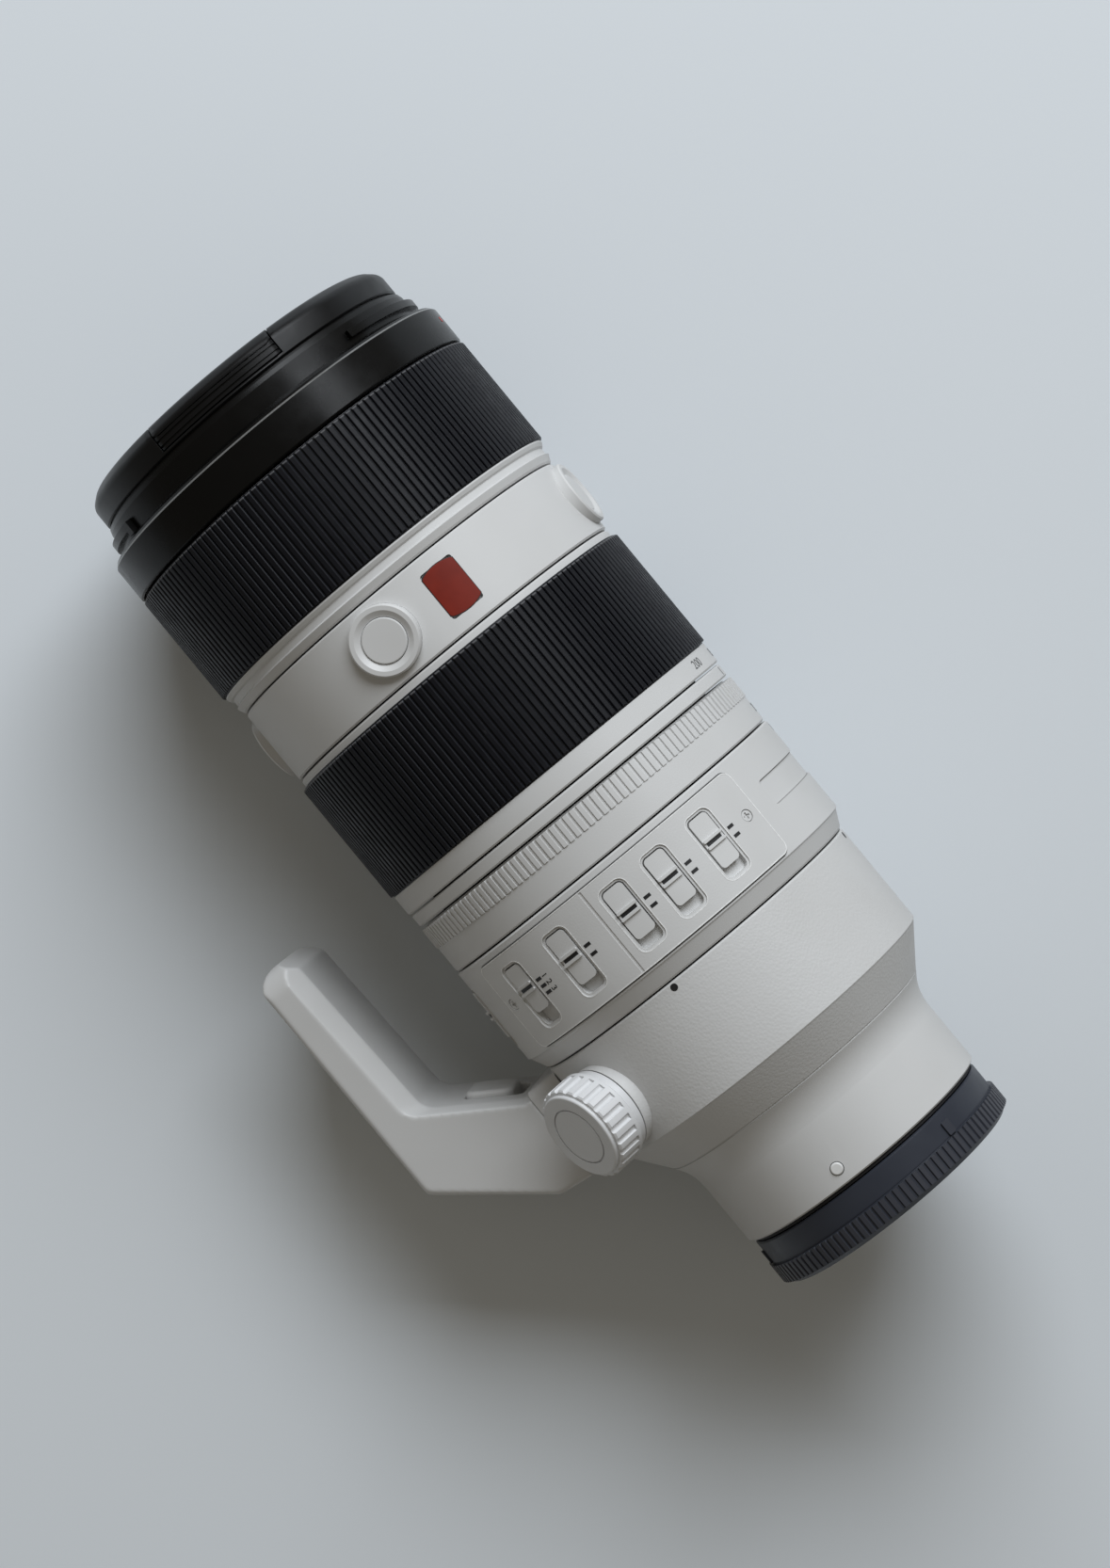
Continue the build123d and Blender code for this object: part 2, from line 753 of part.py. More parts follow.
def make_cam_tube():
    tube = ring(zoom_start + cam_tube_inset, front_cell_start - cam_tube_end_gap,
                cam_tube_radius - cam_tube_wall, cam_tube_radius)
    x0 = zoom_start + zoom_key_start
    key_top = zoom_rubber_radius - grip_wall - shell_wall - seat_gap
    return tube + sector(x0, x0 + zoom_key_length, cam_tube_radius - cam_tube_wall / 2, key_top,
                         zoom_key_angle - zoom_key_half_angle, zoom_key_angle + zoom_key_half_angle)


# Fixed white band with the three focus hold buttons and the red plate
button_inset = 9.1
button_place = band_start + button_inset
button_angles_by_name = {
    "hold_button_side": roll_angle,
    "hold_button_top": top_angle,
    "hold_button_foot": foot_angle,
}
bezel_radius = 7.5
bezel_proud = 1.6
bezel_rim = 1.3
bezel_dish_depth = 0.8
bezel_bore = 4.85
bezel_floor = 1.0
bezel_low_gap = 0.3
bezel_low = barrel_radius + bezel_low_gap
button_gap = 0.1
button_thickness = 2.4
button_travel = 0.8
button_stem_radius = 1.5
button_edge = 0.3
badge_inset = 3.4
badge_start = band_start + badge_inset
badge_length = 11.1
badge_first = -17.0
badge_last = -6.2
badge_depth = 0.8
badge_sink = 0.15
badge_corner = 0.6


def bezel_top():
    return upper_band_radius + bezel_proud


def make_upper_band():
    inner = barrel_radius + seat_gap
    wall = upper_band_radius - shell_wall
    band = turned([
        (band_start, inner), (band_start, upper_band_radius - edge_bevel),
        (band_start + edge_bevel, upper_band_radius), (band_end - edge_bevel, upper_band_radius),
        (band_end, upper_band_radius - edge_bevel), (band_end, inner),
        (band_end - web_thickness, inner), (band_end - web_thickness, wall),
        (band_start + web_thickness, wall), (band_start + web_thickness, inner),
    ])
    for angle in button_angles_by_name.values():
        band -= post(button_place, angle, bezel_low, upper_band_radius + cut_over, bezel_radius + seat_gap)
    grow = math.degrees(seat_gap / upper_band_radius)
    return band - rounded_sector(badge_start - seat_gap, badge_start + badge_length + seat_gap,
                                 upper_band_radius - badge_depth - badge_sink, upper_band_radius + cut_over,
                                 badge_first - grow, badge_last + grow, badge_corner)


def make_button_bezels():
    bezels = []
    top = bezel_top()
    dish = bezel_radius - bezel_rim
    outline = Polyline(
        (0, bezel_low), (bezel_radius, bezel_low), (bezel_radius, top - edge_bevel),
        (bezel_radius - edge_bevel, top), (dish, top), (bezel_bore, top - bezel_dish_depth),
        (bezel_bore, bezel_low + bezel_floor), (0, bezel_low + bezel_floor), close=True,
    )
    cup = revolve(make_face(Plane.XZ * outline), Axis.Z)
    for angle in button_angles_by_name.values():
        bezels.append(to_angle(Pos(button_place, 0, 0) * cup, angle))
    return group(bezels)


def make_hold_button(angle):
    top = bezel_top() - edge_bevel
    head = post(button_place, 0, top - button_thickness, top, bezel_bore - button_gap)
    head = fillet(head.edges().group_by(Axis.Z)[-1], button_edge)
    stem = post(button_place, 0, bezel_low + bezel_floor + button_travel + button_gap,
                top - button_thickness, button_stem_radius)
    return to_angle(head + stem, angle)


def make_badge_plate():
    top = upper_band_radius - badge_sink
    return rounded_sector(badge_start, badge_start + badge_length, top - badge_depth + seat_gap, top,
                          badge_first, badge_last, badge_corner)


# Focus ring with its rubber grip
focus_groove_start = 3.2
focus_groove_end = 1.1


def make_focus_ring():
    inner = barrel_radius + run_gap
    seat = focus_rubber_radius - grip_wall
    wall = seat - shell_wall
    groove = focus_trail_radius - focus_groove_depth
    return turned([
        (focus_start, inner), (focus_start, upper_band_radius - edge_bevel),
        (focus_start + edge_bevel, upper_band_radius),
        (focus_rubber_start - focus_groove_start, focus_trail_radius),
        (focus_rubber_start - focus_groove_start + edge_bevel, groove),
        (focus_rubber_start - focus_groove_end - edge_bevel, groove),
        (focus_rubber_start - focus_groove_end, focus_trail_radius),
        (focus_rubber_start - edge_bevel, focus_rubber_radius - grip_rib_depth),
        (focus_rubber_start, focus_rubber_radius - grip_rib_depth),
        (focus_rubber_start, seat), (focus_end, seat), (focus_end, inner),
        (focus_end - web_thickness, inner), (focus_end - web_thickness, wall),
        (focus_start + web_thickness, wall), (focus_start + web_thickness, inner),
    ])


# Front barrel: black ring, hood bayonet and filter thread
lens_seat_step = 1.9
lens_seat_lip_width = 2.6
lens_seat_lip_thickness = 0.6
hood_rail_height = 1.3
hood_rail_offset = 1.2
hood_rail_width = 1.7
hood_rail_first = 58.0
hood_rail_arc = 84.0
hood_stop_angle = 3.0
filter_depth = 4.4
lens_seat_radius = filter_thread_radius - lens_seat_step
lens_seat_lip = lens_seat_radius - lens_seat_lip_width


def make_front_barrel():
    inner = barrel_radius + seat_gap
    seat = barrel_end + seat_gap + lens_seat_lip_thickness
    shell = turned([
        (front_start, inner), (front_start, front_ring_radius - edge_bevel),
        (front_start + edge_bevel, front_ring_radius), (front_ring_end, front_ring_radius),
        (front_face, front_bevel_radius), (bayonet_start, bayonet_radius),
        (bayonet_end, bayonet_radius), (filter_end, filter_lip_radius),
        (filter_end, filter_thread_radius), (filter_end - filter_depth, filter_thread_radius),
        (filter_end - filter_depth, lens_seat_radius + seat_gap), (seat, lens_seat_radius + seat_gap),
        (seat, lens_seat_lip), (barrel_end + seat_gap, lens_seat_lip), (barrel_end + seat_gap, inner),
    ])
    x0 = bayonet_start + hood_rail_offset
    low = bayonet_radius - hood_rail_height
    high = bayonet_radius + hood_rail_height
    for first in (hood_rail_first, hood_rail_first + half_turn):
        shell += sector(x0, x0 + hood_rail_width, low, high, first, first + hood_rail_arc)
        shell += sector(bayonet_start, x0 + hood_rail_width, low, high, first, first + hood_stop_angle)
    return shell


front_lens_sag = 2.8
front_lens_rear_sag = 1.2
front_lens_edge = 6.0


def lens(x0, x1, radius, rear_sag, front_sag):
    """Round glass with flat edge between x0 and x1; a positive sag bulges out."""
    return revolve(make_face([
        Line((x0 - rear_sag, 0), (x1 + front_sag, 0)),
        RadiusArc((x1 + front_sag, 0), (x1, radius), -(radius**2 + front_sag**2) / (2 * front_sag)),
        Line((x1, radius), (x0, radius)),
        RadiusArc((x0, radius), (x0 - rear_sag, 0), -(radius**2 + rear_sag**2) / (2 * rear_sag)),
    ]), Axis.X)


def make_front_lens():
    seat = barrel_end + 2 * seat_gap + lens_seat_lip_thickness
    return lens(seat, seat + front_lens_edge, lens_seat_radius, -front_lens_rear_sag, front_lens_sag)


retainer_thickness = 0.8
retainer_width = 3.08


def make_front_retainer():
    x0 = filter_end - filter_depth + seat_gap
    outer = filter_thread_radius - seat_gap
    return ring(x0, x0 + retainer_thickness, outer - retainer_width, outer)


# Front cap with its two spring tabs
cap_gap = 0.7
cap_side_length = 4.9
cap_bevel_length = 2.2
cap_drop = 0.2
cap_bevel_drop = 2.5
cap_plate_thickness = 2.4
cap_insert_length = 3.6
cap_insert_wall = 1.6
cap_tab_angle = 5.5
cap_tab_half_width = 15.6
cap_tab_depth = 8.8
cap_tab_travel = 2.5
cap_tab_rear_wall = 0.8
cap_tab_groove_count = 3
cap_tab_groove_pitch = 1.3
cap_tab_groove_width = 0.45
cap_tab_groove_depth = 0.4
cap_tab_groove_offset_share = 0.6
cap_radius = filter_lip_radius - cap_drop
cap_front_radius = cap_radius - cap_bevel_drop
cap_tab_inner = cap_radius - cap_tab_depth
cap_start = filter_end + cap_gap
cap_side_end = cap_start + cap_side_length
cap_end = cap_side_end + cap_bevel_length


def cap_solid():
    return turned([
        (cap_start, 0), (cap_start, cap_radius - edge_bevel), (cap_start + edge_bevel, cap_radius),
        (cap_side_end, cap_radius), (cap_end, cap_front_radius), (cap_end, 0),
    ])


def cap_tab_box(angle, inner, half_width, x0, x1):
    box = Box(x1 - x0, 2 * half_width, cap_radius + cut_over - inner,
              align=(Align.MIN, Align.CENTER, Align.MIN))
    return to_angle(Pos(x0, 0, inner) * box, angle)


def make_front_cap():
    cap = cap_solid()
    insert_radius = filter_thread_radius - run_gap
    cap += ring(cap_start - cap_insert_length, cap_start + edge_bevel,
                insert_radius - cap_insert_wall, insert_radius)
    cap -= ring(cap_start - cut_over, cap_end - cap_plate_thickness, 0, cap_tab_inner - 2 * cap_tab_travel)
    for angle in (cap_tab_angle, cap_tab_angle + half_turn):
        cap -= cap_tab_box(angle, cap_tab_inner - cap_tab_travel - slide_gap, cap_tab_half_width + slide_gap,
                           cap_start + cap_tab_rear_wall, cap_end + cut_over)
    return cap


def make_cap_tab(angle):
    tab = cap_solid() & cap_tab_box(angle, cap_tab_inner, cap_tab_half_width,
                                    cap_start + cap_tab_rear_wall + slide_gap, cap_end + cut_over)
    for i in range(cap_tab_groove_count):
        x0 = cap_start + cap_tab_rear_wall + cap_tab_groove_pitch * (i + cap_tab_groove_offset_share)
        tab -= ring(x0, x0 + cap_tab_groove_width, cap_radius - cap_tab_groove_depth, cap_radius + cut_over)
    return tab


# Rear cap that twists on to the bayonet
rear_cap_gap = 1.1
rear_cap_lip_length = 5.4
rear_cap_lip_drop = 0.5
rear_cap_step = 0.5
rear_cap_rib_length = 4.8
rear_cap_rib_count = 108
rear_cap_rib_proud = 0.3
rear_cap_rib_depth = 0.4
rear_cap_root_share = 0.76
rear_cap_top_share = 0.56
rear_cap_end_length = 1.0
rear_cap_end_drop = 1.2
rear_cap_wall = 2.3
rear_cap_floor = 1.6
rear_cap_lug_length = 1.5
rear_cap_lug_gap = 0.4
rear_cap_lug_angle = 50.0
rear_cap_mark_angles = (-34.0, 85.0)
rear_cap_mark_length = 3.2
rear_cap_mark_half_width = 1.05
rear_cap_mark_proud = 0.5
rear_cap_mark_corner = 0.3
rear_cap_lip_radius = neck_rear_radius - rear_cap_lip_drop
rear_cap_rib_radius = neck_rear_radius + rear_cap_rib_proud
rear_cap_end_radius = rear_cap_rib_radius - rear_cap_rib_depth - rear_cap_end_drop
rear_cap_bore = rear_cap_lip_radius - rear_cap_wall


def make_rear_cap():
    lip = -rear_cap_gap
    rib_front = lip - rear_cap_lip_length
    rib_rear = rib_front - rear_cap_rib_length
    back = rib_rear - rear_cap_end_length
    root = rear_cap_rib_radius - rear_cap_rib_depth
    neck = root - rear_cap_step
    cup = turned([
        (lip, rear_cap_bore), (lip, rear_cap_lip_radius - edge_bevel), (lip - edge_bevel, rear_cap_lip_radius),
        (rib_front, rear_cap_lip_radius), (rib_front, neck), (rib_rear, neck), (rib_rear, root),
        (back, rear_cap_end_radius), (back, 0), (back + rear_cap_floor, 0),
        (back + rear_cap_floor, rear_cap_bore),
    ])
    cup += ribbed(rib_rear, rib_front - edge_bevel, neck - edge_bevel, root, rear_cap_rib_radius,
                  rear_cap_rib_count, rear_cap_root_share, rear_cap_top_share)
    lug_end = rear_cap_lug_gap + mount_lug_length - mount_tube_length
    inner = throat_radius + throat_wall + rear_cap_lug_gap
    for centre in mount_lug_centres(top_angle + half_turn / mount_lug_count):
        cup += sector(lug_end, lug_end + rear_cap_lug_length, inner, rear_cap_bore + edge_bevel,
                      centre - rear_cap_lug_angle / 2, centre + rear_cap_lug_angle / 2)
    for angle in rear_cap_mark_angles:
        cup += pad(rib_front, rib_front + rear_cap_mark_length, rear_cap_mark_half_width, neck,
                   rear_cap_lip_radius + rear_cap_mark_proud, angle, rear_cap_mark_corner)
    return cup


# Glass groups and the parts that move inside
rod_radius = 1.5
rod_inset = 4.5
rod_circle = barrel_bore - rod_inset
rod_angles = (foot_angle, foot_angle + half_turn)
rod_hole_depth = 3.0
front_cell_setback = 4.1
front_cell_length = 18.0
front_cell_web = 4.0
front_cell_lip = 4.0
second_lens_margin = 3.5
second_lens_inset = 9.0
second_lens_edge = 7.0
group_margin = 1.6
iris_inset = 10.4
iris_length = 10.0
iris_width = 19.5
iris_slot_start = 4.0
iris_slot_length = 2.6
iris_slot_width = 6.5
blade_count = 11
blade_thickness = 0.15
blade_pitch = 0.21
blade_inset = 0.6
blade_width = 6.4
blade_arc = 64.0
glass_sag = 1.6
glass_inset_share = 0.2
cam_tube_end_gap = 9.4
front_cell_start = barrel_end - front_cell_setback - front_cell_length
second_lens_radius = barrel_bore - second_lens_margin
front_cell_bore = second_lens_radius - front_cell_lip
group_radius = barrel_bore - group_margin
iris_start = body_start + iris_inset
iris_end = iris_start + iris_length
iris_bore = barrel_bore - iris_width
iris_slot_radius = barrel_bore - iris_slot_width
blade_inner = iris_bore + blade_inset
blade_outer = blade_inner + blade_width


def rod_holes(x0, x1, gap):
    return [along_post(x0, x1, angle, rod_circle, rod_radius + gap) for angle in rod_angles]


def make_front_cell():
    x1 = front_cell_start + front_cell_length
    outer = barrel_bore - seat_gap
    seat = second_lens_radius + seat_gap
    cell = turned([
        (front_cell_start, front_cell_bore), (front_cell_start + front_cell_web, front_cell_bore),
        (front_cell_start + front_cell_web, seat), (x1, seat), (x1, outer), (front_cell_start, outer),
    ])
    for hole in rod_holes(front_cell_start - cut_over, front_cell_start + rod_hole_depth, seat_gap):
        cell -= hole
    return cell


def make_second_lens():
    x0 = front_cell_start + second_lens_inset
    return lens(x0, x0 + second_lens_edge, second_lens_radius, glass_sag, glass_sag)


def make_guide_rods():
    x0 = iris_end - rod_hole_depth + seat_gap
    x1 = front_cell_start + rod_hole_depth - seat_gap
    return group(along_post(x0, x1, angle, rod_circle, rod_radius) for angle in rod_angles)


def make_iris_housing():
    x1 = iris_end
    outer = barrel_bore - seat_gap
    slot = iris_start + iris_slot_start
    housing = turned([
        (iris_start, iris_bore), (slot, iris_bore), (slot, iris_slot_radius),
        (slot + iris_slot_length, iris_slot_radius), (slot + iris_slot_length, iris_bore),
        (x1, iris_bore), (x1, outer), (iris_start, outer),
    ])
    for hole in rod_holes(x1 - rod_hole_depth, x1 + cut_over, seat_gap):
        housing -= hole
    return housing


def make_iris_blades():
    slot = iris_start + iris_slot_start
    blades = []
    for i in range(blade_count):
        x0 = slot + blade_pitch * (i + 1) - blade_thickness
        first = full_turn * i / blade_count
        blades.append(sector(x0, x0 + blade_thickness, blade_inner, blade_outer, first, first + blade_arc))
    return group(blades)


class MovingGroup:
    """Lens cell that slides on the guide rods, and its glass."""

    def __init__(self, start, length, glass_radius, rear_sag, front_sag):
        self.start = start
        self.length = length
        self.glass_radius = glass_radius
        self.sags = (rear_sag, front_sag)

    def cell(self):
        body = ring(self.start, self.start + self.length, self.glass_radius + seat_gap, group_radius)
        for hole in rod_holes(self.start - cut_over, self.start + self.length + cut_over, run_gap):
            body -= hole
        return body

    def glass(self):
        inset = self.length * glass_inset_share
        return lens(self.start + inset, self.start + self.length - inset, self.glass_radius, *self.sags)


rear_focus_gap = 8.0
rear_focus_length = 7.0
rear_focus_width = 14.9
focus_gap = 6.0
focus_length = 8.0
focus_width = 12.9
zoom_gap = 14.0
zoom_length = 12.0
zoom_width = 10.9
rear_focus_start = iris_end + rear_focus_gap
focus_group_start = rear_focus_start + rear_focus_length + focus_gap
zoom_group_start = focus_group_start + focus_length + zoom_gap
rear_focus_group = MovingGroup(rear_focus_start, rear_focus_length, group_radius - rear_focus_width,
                               glass_sag, -glass_sag)
focus_group = MovingGroup(focus_group_start, focus_length, group_radius - focus_width, -glass_sag, -glass_sag)
zoom_group = MovingGroup(zoom_group_start, zoom_length, group_radius - zoom_width, -glass_sag, glass_sag)

# Stabiliser: a carriage that shifts sideways carries a cell that shifts up and down
stabiliser_gap = 0.3
carriage_thickness = 3.7
carriage_margin = 1.5
carriage_width = 16.0
stabiliser_cell_thickness = 4.4
stabiliser_cell_step = 7.0
stabiliser_cell_width = 12.0
stabiliser_glass_inset = 0.4
carriage_outer = barrel_bore - carriage_margin
carriage_inner = carriage_outer - carriage_width
stabiliser_cell_outer = carriage_outer - stabiliser_cell_step
stabiliser_cell_inner = stabiliser_cell_outer - stabiliser_cell_width
carriage_end = iris_start - stabiliser_gap
carriage_start = carriage_end - carriage_thickness
stabiliser_cell_end = carriage_start - stabiliser_gap
stabiliser_cell_start = stabiliser_cell_end - stabiliser_cell_thickness


def make_stabiliser_lens():
    return lens(stabiliser_cell_start + stabiliser_glass_inset, stabiliser_cell_end - stabiliser_glass_inset,
                stabiliser_cell_inner - seat_gap, -stabiliser_glass_inset, -stabiliser_glass_inset)


# Rear group and the circuit board behind the barrel flange
rear_cell_gap = 1.5
rear_cell_length = 9.5
rear_cell_width = 11.0
rear_lens_inset = 1.0
board_thickness = 1.6
board_width = 10.5
rear_cell_start = mount_flange_thickness + neck_boss_length + rear_cell_gap
rear_lens_radius = neck_radius - neck_wall - rear_cell_width


def make_rear_cell():
    return ring(rear_cell_start, rear_cell_start + rear_cell_length, rear_lens_radius + seat_gap,
                neck_radius - neck_wall - seat_gap)


def make_rear_lens():
    return lens(rear_cell_start + rear_lens_inset, rear_cell_start + rear_cell_length - rear_lens_inset,
                rear_lens_radius, glass_sag, glass_sag)


def make_circuit_board():
    x0 = spigot_end + barrel_flange_thickness + seat_gap
    return ring(x0, x0 + board_thickness, barrel_bore - board_width, barrel_bore - seat_gap)


focus_switch_plate, mode_switch_plate = make_switch_plates()

nodes = {
    "inner_barrel": make_inner_barrel(),
    "mount_flange": make_mount_flange(),
    "mount_screws": make_mount_screws(),
    "mount_seal": make_mount_seal(),
    "contact_block": make_contact_block(),
    "contact_pins": make_contact_pins(),
    "rear_housing": make_rear_housing(),
    "mount_dot": make_mount_dot(),
    "collar_ring": make_collar_ring(),
    "lock_knob": make_lock_knob(),
    "tripod_foot": make_tripod_foot(),
    "foot_release": make_foot_release(),
    "main_housing": make_main_housing(),
    "focus_switch_plate": focus_switch_plate,
    "mode_switch_plate": mode_switch_plate,
    "panel_screws": make_panel_screws(),
    "aperture_ring": make_aperture_ring(),
    "index_band": make_index_band(),
    "zoom_ring": make_zoom_ring(),
    "zoom_rubber": make_rubber(zoom_rubber_start, zoom_rubber_end, zoom_rubber_radius),
    "cam_tube": make_cam_tube(),
    "upper_band": make_upper_band(),
    "button_bezels": make_button_bezels(),
    "badge_plate": make_badge_plate(),
    "focus_ring": make_focus_ring(),
    "focus_rubber": make_rubber(focus_rubber_start, focus_end, focus_rubber_radius),
    "front_barrel": make_front_barrel(),
    "front_lens": make_front_lens(),
    "front_retainer": make_front_retainer(),
    "front_cap": make_front_cap(),
    "cap_tab_upper": make_cap_tab(cap_tab_angle),
    "cap_tab_lower": make_cap_tab(cap_tab_angle + half_turn),
    "rear_cap": make_rear_cap(),
    "front_cell": make_front_cell(),
    "second_lens": make_second_lens(),
    "guide_rods": make_guide_rods(),
    "iris_housing": make_iris_housing(),
    "iris_blades": make_iris_blades(),
    "zoom_cell": zoom_group.cell(),
    "zoom_lens": zoom_group.glass(),
    "focus_cell": focus_group.cell(),
    "focus_lens": focus_group.glass(),
    "rear_focus_cell": rear_focus_group.cell(),
    "rear_focus_lens": rear_focus_group.glass(),
    "stabiliser_carriage": ring(carriage_start, carriage_end, carriage_inner, carriage_outer),
    "stabiliser_cell": ring(stabiliser_cell_start, stabiliser_cell_end, stabiliser_cell_inner,
                            stabiliser_cell_outer),
    "stabiliser_lens": make_stabiliser_lens(),
    "rear_cell": make_rear_cell(),
    "rear_lens": make_rear_lens(),
    "circuit_board": make_circuit_board(),
}
for name, angle in switch_angles_by_name.items():
    length = three_way_slider_length if name == "stabiliser_mode_slider" else slider_length
    nodes[name] = make_slider(angle, length)
for name, angle in button_angles_by_name.items():
    nodes[name] = make_hold_button(angle)

for name, shape in nodes.items():
    export_step(shape, f"parts/{name}.step")
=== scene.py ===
import math

import bmesh
import bpy
from mathutils import Matrix, Vector
from mathutils.bvhtree import BVHTree


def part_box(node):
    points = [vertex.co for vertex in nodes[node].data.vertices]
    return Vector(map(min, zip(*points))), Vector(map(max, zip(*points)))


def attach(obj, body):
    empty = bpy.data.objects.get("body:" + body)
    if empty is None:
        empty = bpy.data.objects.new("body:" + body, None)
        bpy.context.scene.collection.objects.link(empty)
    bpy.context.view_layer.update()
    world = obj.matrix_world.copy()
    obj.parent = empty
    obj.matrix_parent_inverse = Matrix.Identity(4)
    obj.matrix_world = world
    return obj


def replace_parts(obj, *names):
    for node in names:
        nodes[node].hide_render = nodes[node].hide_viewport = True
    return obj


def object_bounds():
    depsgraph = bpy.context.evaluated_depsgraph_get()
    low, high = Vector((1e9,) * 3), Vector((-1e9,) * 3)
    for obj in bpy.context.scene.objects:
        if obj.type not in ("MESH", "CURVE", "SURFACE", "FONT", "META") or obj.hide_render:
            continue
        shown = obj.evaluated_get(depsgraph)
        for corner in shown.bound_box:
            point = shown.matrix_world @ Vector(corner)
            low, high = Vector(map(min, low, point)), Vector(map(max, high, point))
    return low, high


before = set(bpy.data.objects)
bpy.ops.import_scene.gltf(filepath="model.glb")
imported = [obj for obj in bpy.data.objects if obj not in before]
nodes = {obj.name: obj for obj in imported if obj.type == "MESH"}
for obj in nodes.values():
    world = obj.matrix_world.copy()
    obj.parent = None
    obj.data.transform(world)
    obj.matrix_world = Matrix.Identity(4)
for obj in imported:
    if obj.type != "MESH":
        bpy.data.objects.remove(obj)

cad_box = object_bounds()

# A white telephoto zoom lens with its foot and both caps, lying on a pale table.
# Sizes are in metres. Angles about the optical axis are in degrees, from the top of the lens as it
# lies towards the side of the foot. What the frame already knows is read from it.
MM = 0.001
full_turn = 2 * math.pi
roll_angle = 12.0
top_angle = roll_angle - 90.0
merge_distance = 0.002 * MM


def span(node):
    """Start and end of a node along the optical axis."""
    low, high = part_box(node)
    return low.x, high.x


def reach(node):
    """Largest distance of a ring node's box from the optical axis."""
    low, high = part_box(node)
    return max(high.z, high.y, -low.y, -low.z)


def round_axis(x, radius, angle):
    """Point on a cylinder about the optical axis; the angle runs from the top to the foot side."""
    a = math.radians(angle)
    return Vector((x, radius * math.sin(a), radius * math.cos(a)))


# Finishes

class Finish:
    """A material that is built up node by node on Object coordinates."""

    def __init__(self, name, colour, roughness, metallic=0.0, specular=0.5):
        self.material = bpy.data.materials.new(name)
        self.material.use_nodes = True
        self.tree = self.material.node_tree
        self.tree.nodes.clear()
        self.output = self.tree.nodes.new("ShaderNodeOutputMaterial")
        self.shader = self.tree.nodes.new("ShaderNodeBsdfPrincipled")
        self.tree.links.new(self.shader.outputs["BSDF"], self.output.inputs["Surface"])
        self.place = self.tree.nodes.new("ShaderNodeTexCoord").outputs["Object"]
        self.colour = (*colour, 1.0)
        self.shader.inputs["Base Color"].default_value = self.colour
        self.shader.inputs["Roughness"].default_value = roughness
        self.shader.inputs["Metallic"].default_value = metallic
        self.shader.inputs["Specular IOR Level"].default_value = specular
        self.roughness = roughness
        self.normal = None

    def link(self, a, b):
        self.tree.links.new(a, b)

    def noise(self, size, detail=3.0, stretch=None):
        """Noise whose marks are about the given size in metres."""
        node = self.tree.nodes.new("ShaderNodeTexNoise")
        node.inputs["Scale"].default_value = 1.0 / size
        node.inputs["Detail"].default_value = detail
        source = self.place
        if stretch:
            mapping = self.tree.nodes.new("ShaderNodeMapping")
            mapping.inputs["Scale"].default_value = stretch
            self.link(source, mapping.inputs["Vector"])
            source = mapping.outputs["Vector"]
        self.link(source, node.inputs["Vector"])
        return node.outputs["Fac"]

    def pebbles(self, size):
        """Rounded cells, as a leather-like paint has."""
        node = self.tree.nodes.new("ShaderNodeTexVoronoi")
        node.feature = "SMOOTH_F1"
        node.inputs["Scale"].default_value = 1.0 / size
        node.inputs["Smoothness"].default_value = 0.6
        self.link(self.place, node.inputs["Vector"])
        return node.outputs["Distance"]

    def ranged(self, value, from_low, from_high, to_low, to_high):
        """A value's range is moved to another range, and held at its ends."""
        node = self.tree.nodes.new("ShaderNodeMapRange")
        for key, number in (("From Min", from_low), ("From Max", from_high),
                            ("To Min", to_low), ("To Max", to_high)):
            node.inputs[key].default_value = number
        self.link(value, node.inputs["Value"])
        return node.outputs["Result"]

    def soft_edges(self, radius):
        """Rounds sharp edges a little in the shading, as moulded and painted edges are."""
        node = self.tree.nodes.new("ShaderNodeBevel")
        node.samples = 4
        node.inputs["Radius"].default_value = radius
        self.rounded_normal = self.normal = node.outputs["Normal"]
        return self

    def relief(self, height, depth, strength=1.0):
        """Bump of a given depth in metres."""
        node = self.tree.nodes.new("ShaderNodeBump")
        node.inputs["Strength"].default_value = strength
        node.inputs["Distance"].default_value = depth
        self.link(height, node.inputs["Height"])
        if self.normal is not None:
            self.link(self.normal, node.inputs["Normal"])
        self.normal = node.outputs["Normal"]
        return self

    def blend(self, factor, other):
        """Mixes another colour over the base colour."""
        mix = self.tree.nodes.new("ShaderNodeMix")
        mix.data_type = "RGBA"
        self.link(factor, mix.inputs["Factor"])
        base = self.shader.inputs["Base Color"]
        if base.is_linked:
            self.link(base.links[0].from_socket, mix.inputs["A"])
        else:
            mix.inputs["A"].default_value = self.colour
        mix.inputs["B"].default_value = (*other, 1.0)
        self.link(mix.outputs["Result"], base)
        return self

    def tint(self, value, other, low=0.4, high=0.7):
        """Blends towards another colour where a value is high."""
        return self.blend(self.ranged(value, low, high, 0.0, 1.0), other)

    def from_axis(self):
        """Distance from the optical axis."""
        flat = self.tree.nodes.new("ShaderNodeVectorMath")
        flat.operation = "MULTIPLY"
        flat.inputs[1].default_value = (0.0, 1.0, 1.0)
        self.link(self.place, flat.inputs[0])
        size = self.tree.nodes.new("ShaderNodeVectorMath")
        size.operation = "LENGTH"
        self.link(flat.outputs[0], size.inputs[0])
        return size.outputs["Value"]

    def step(self, operation, a, b=0.0):
        """One step of arithmetic on values of the tree."""
        node = self.tree.nodes.new("ShaderNodeMath")
        node.operation = operation
        self.link(a, node.inputs[0])
        if isinstance(b, float):
            node.inputs[1].default_value = b
        else:
            self.link(b, node.inputs[1])
        return node.outputs["Value"]

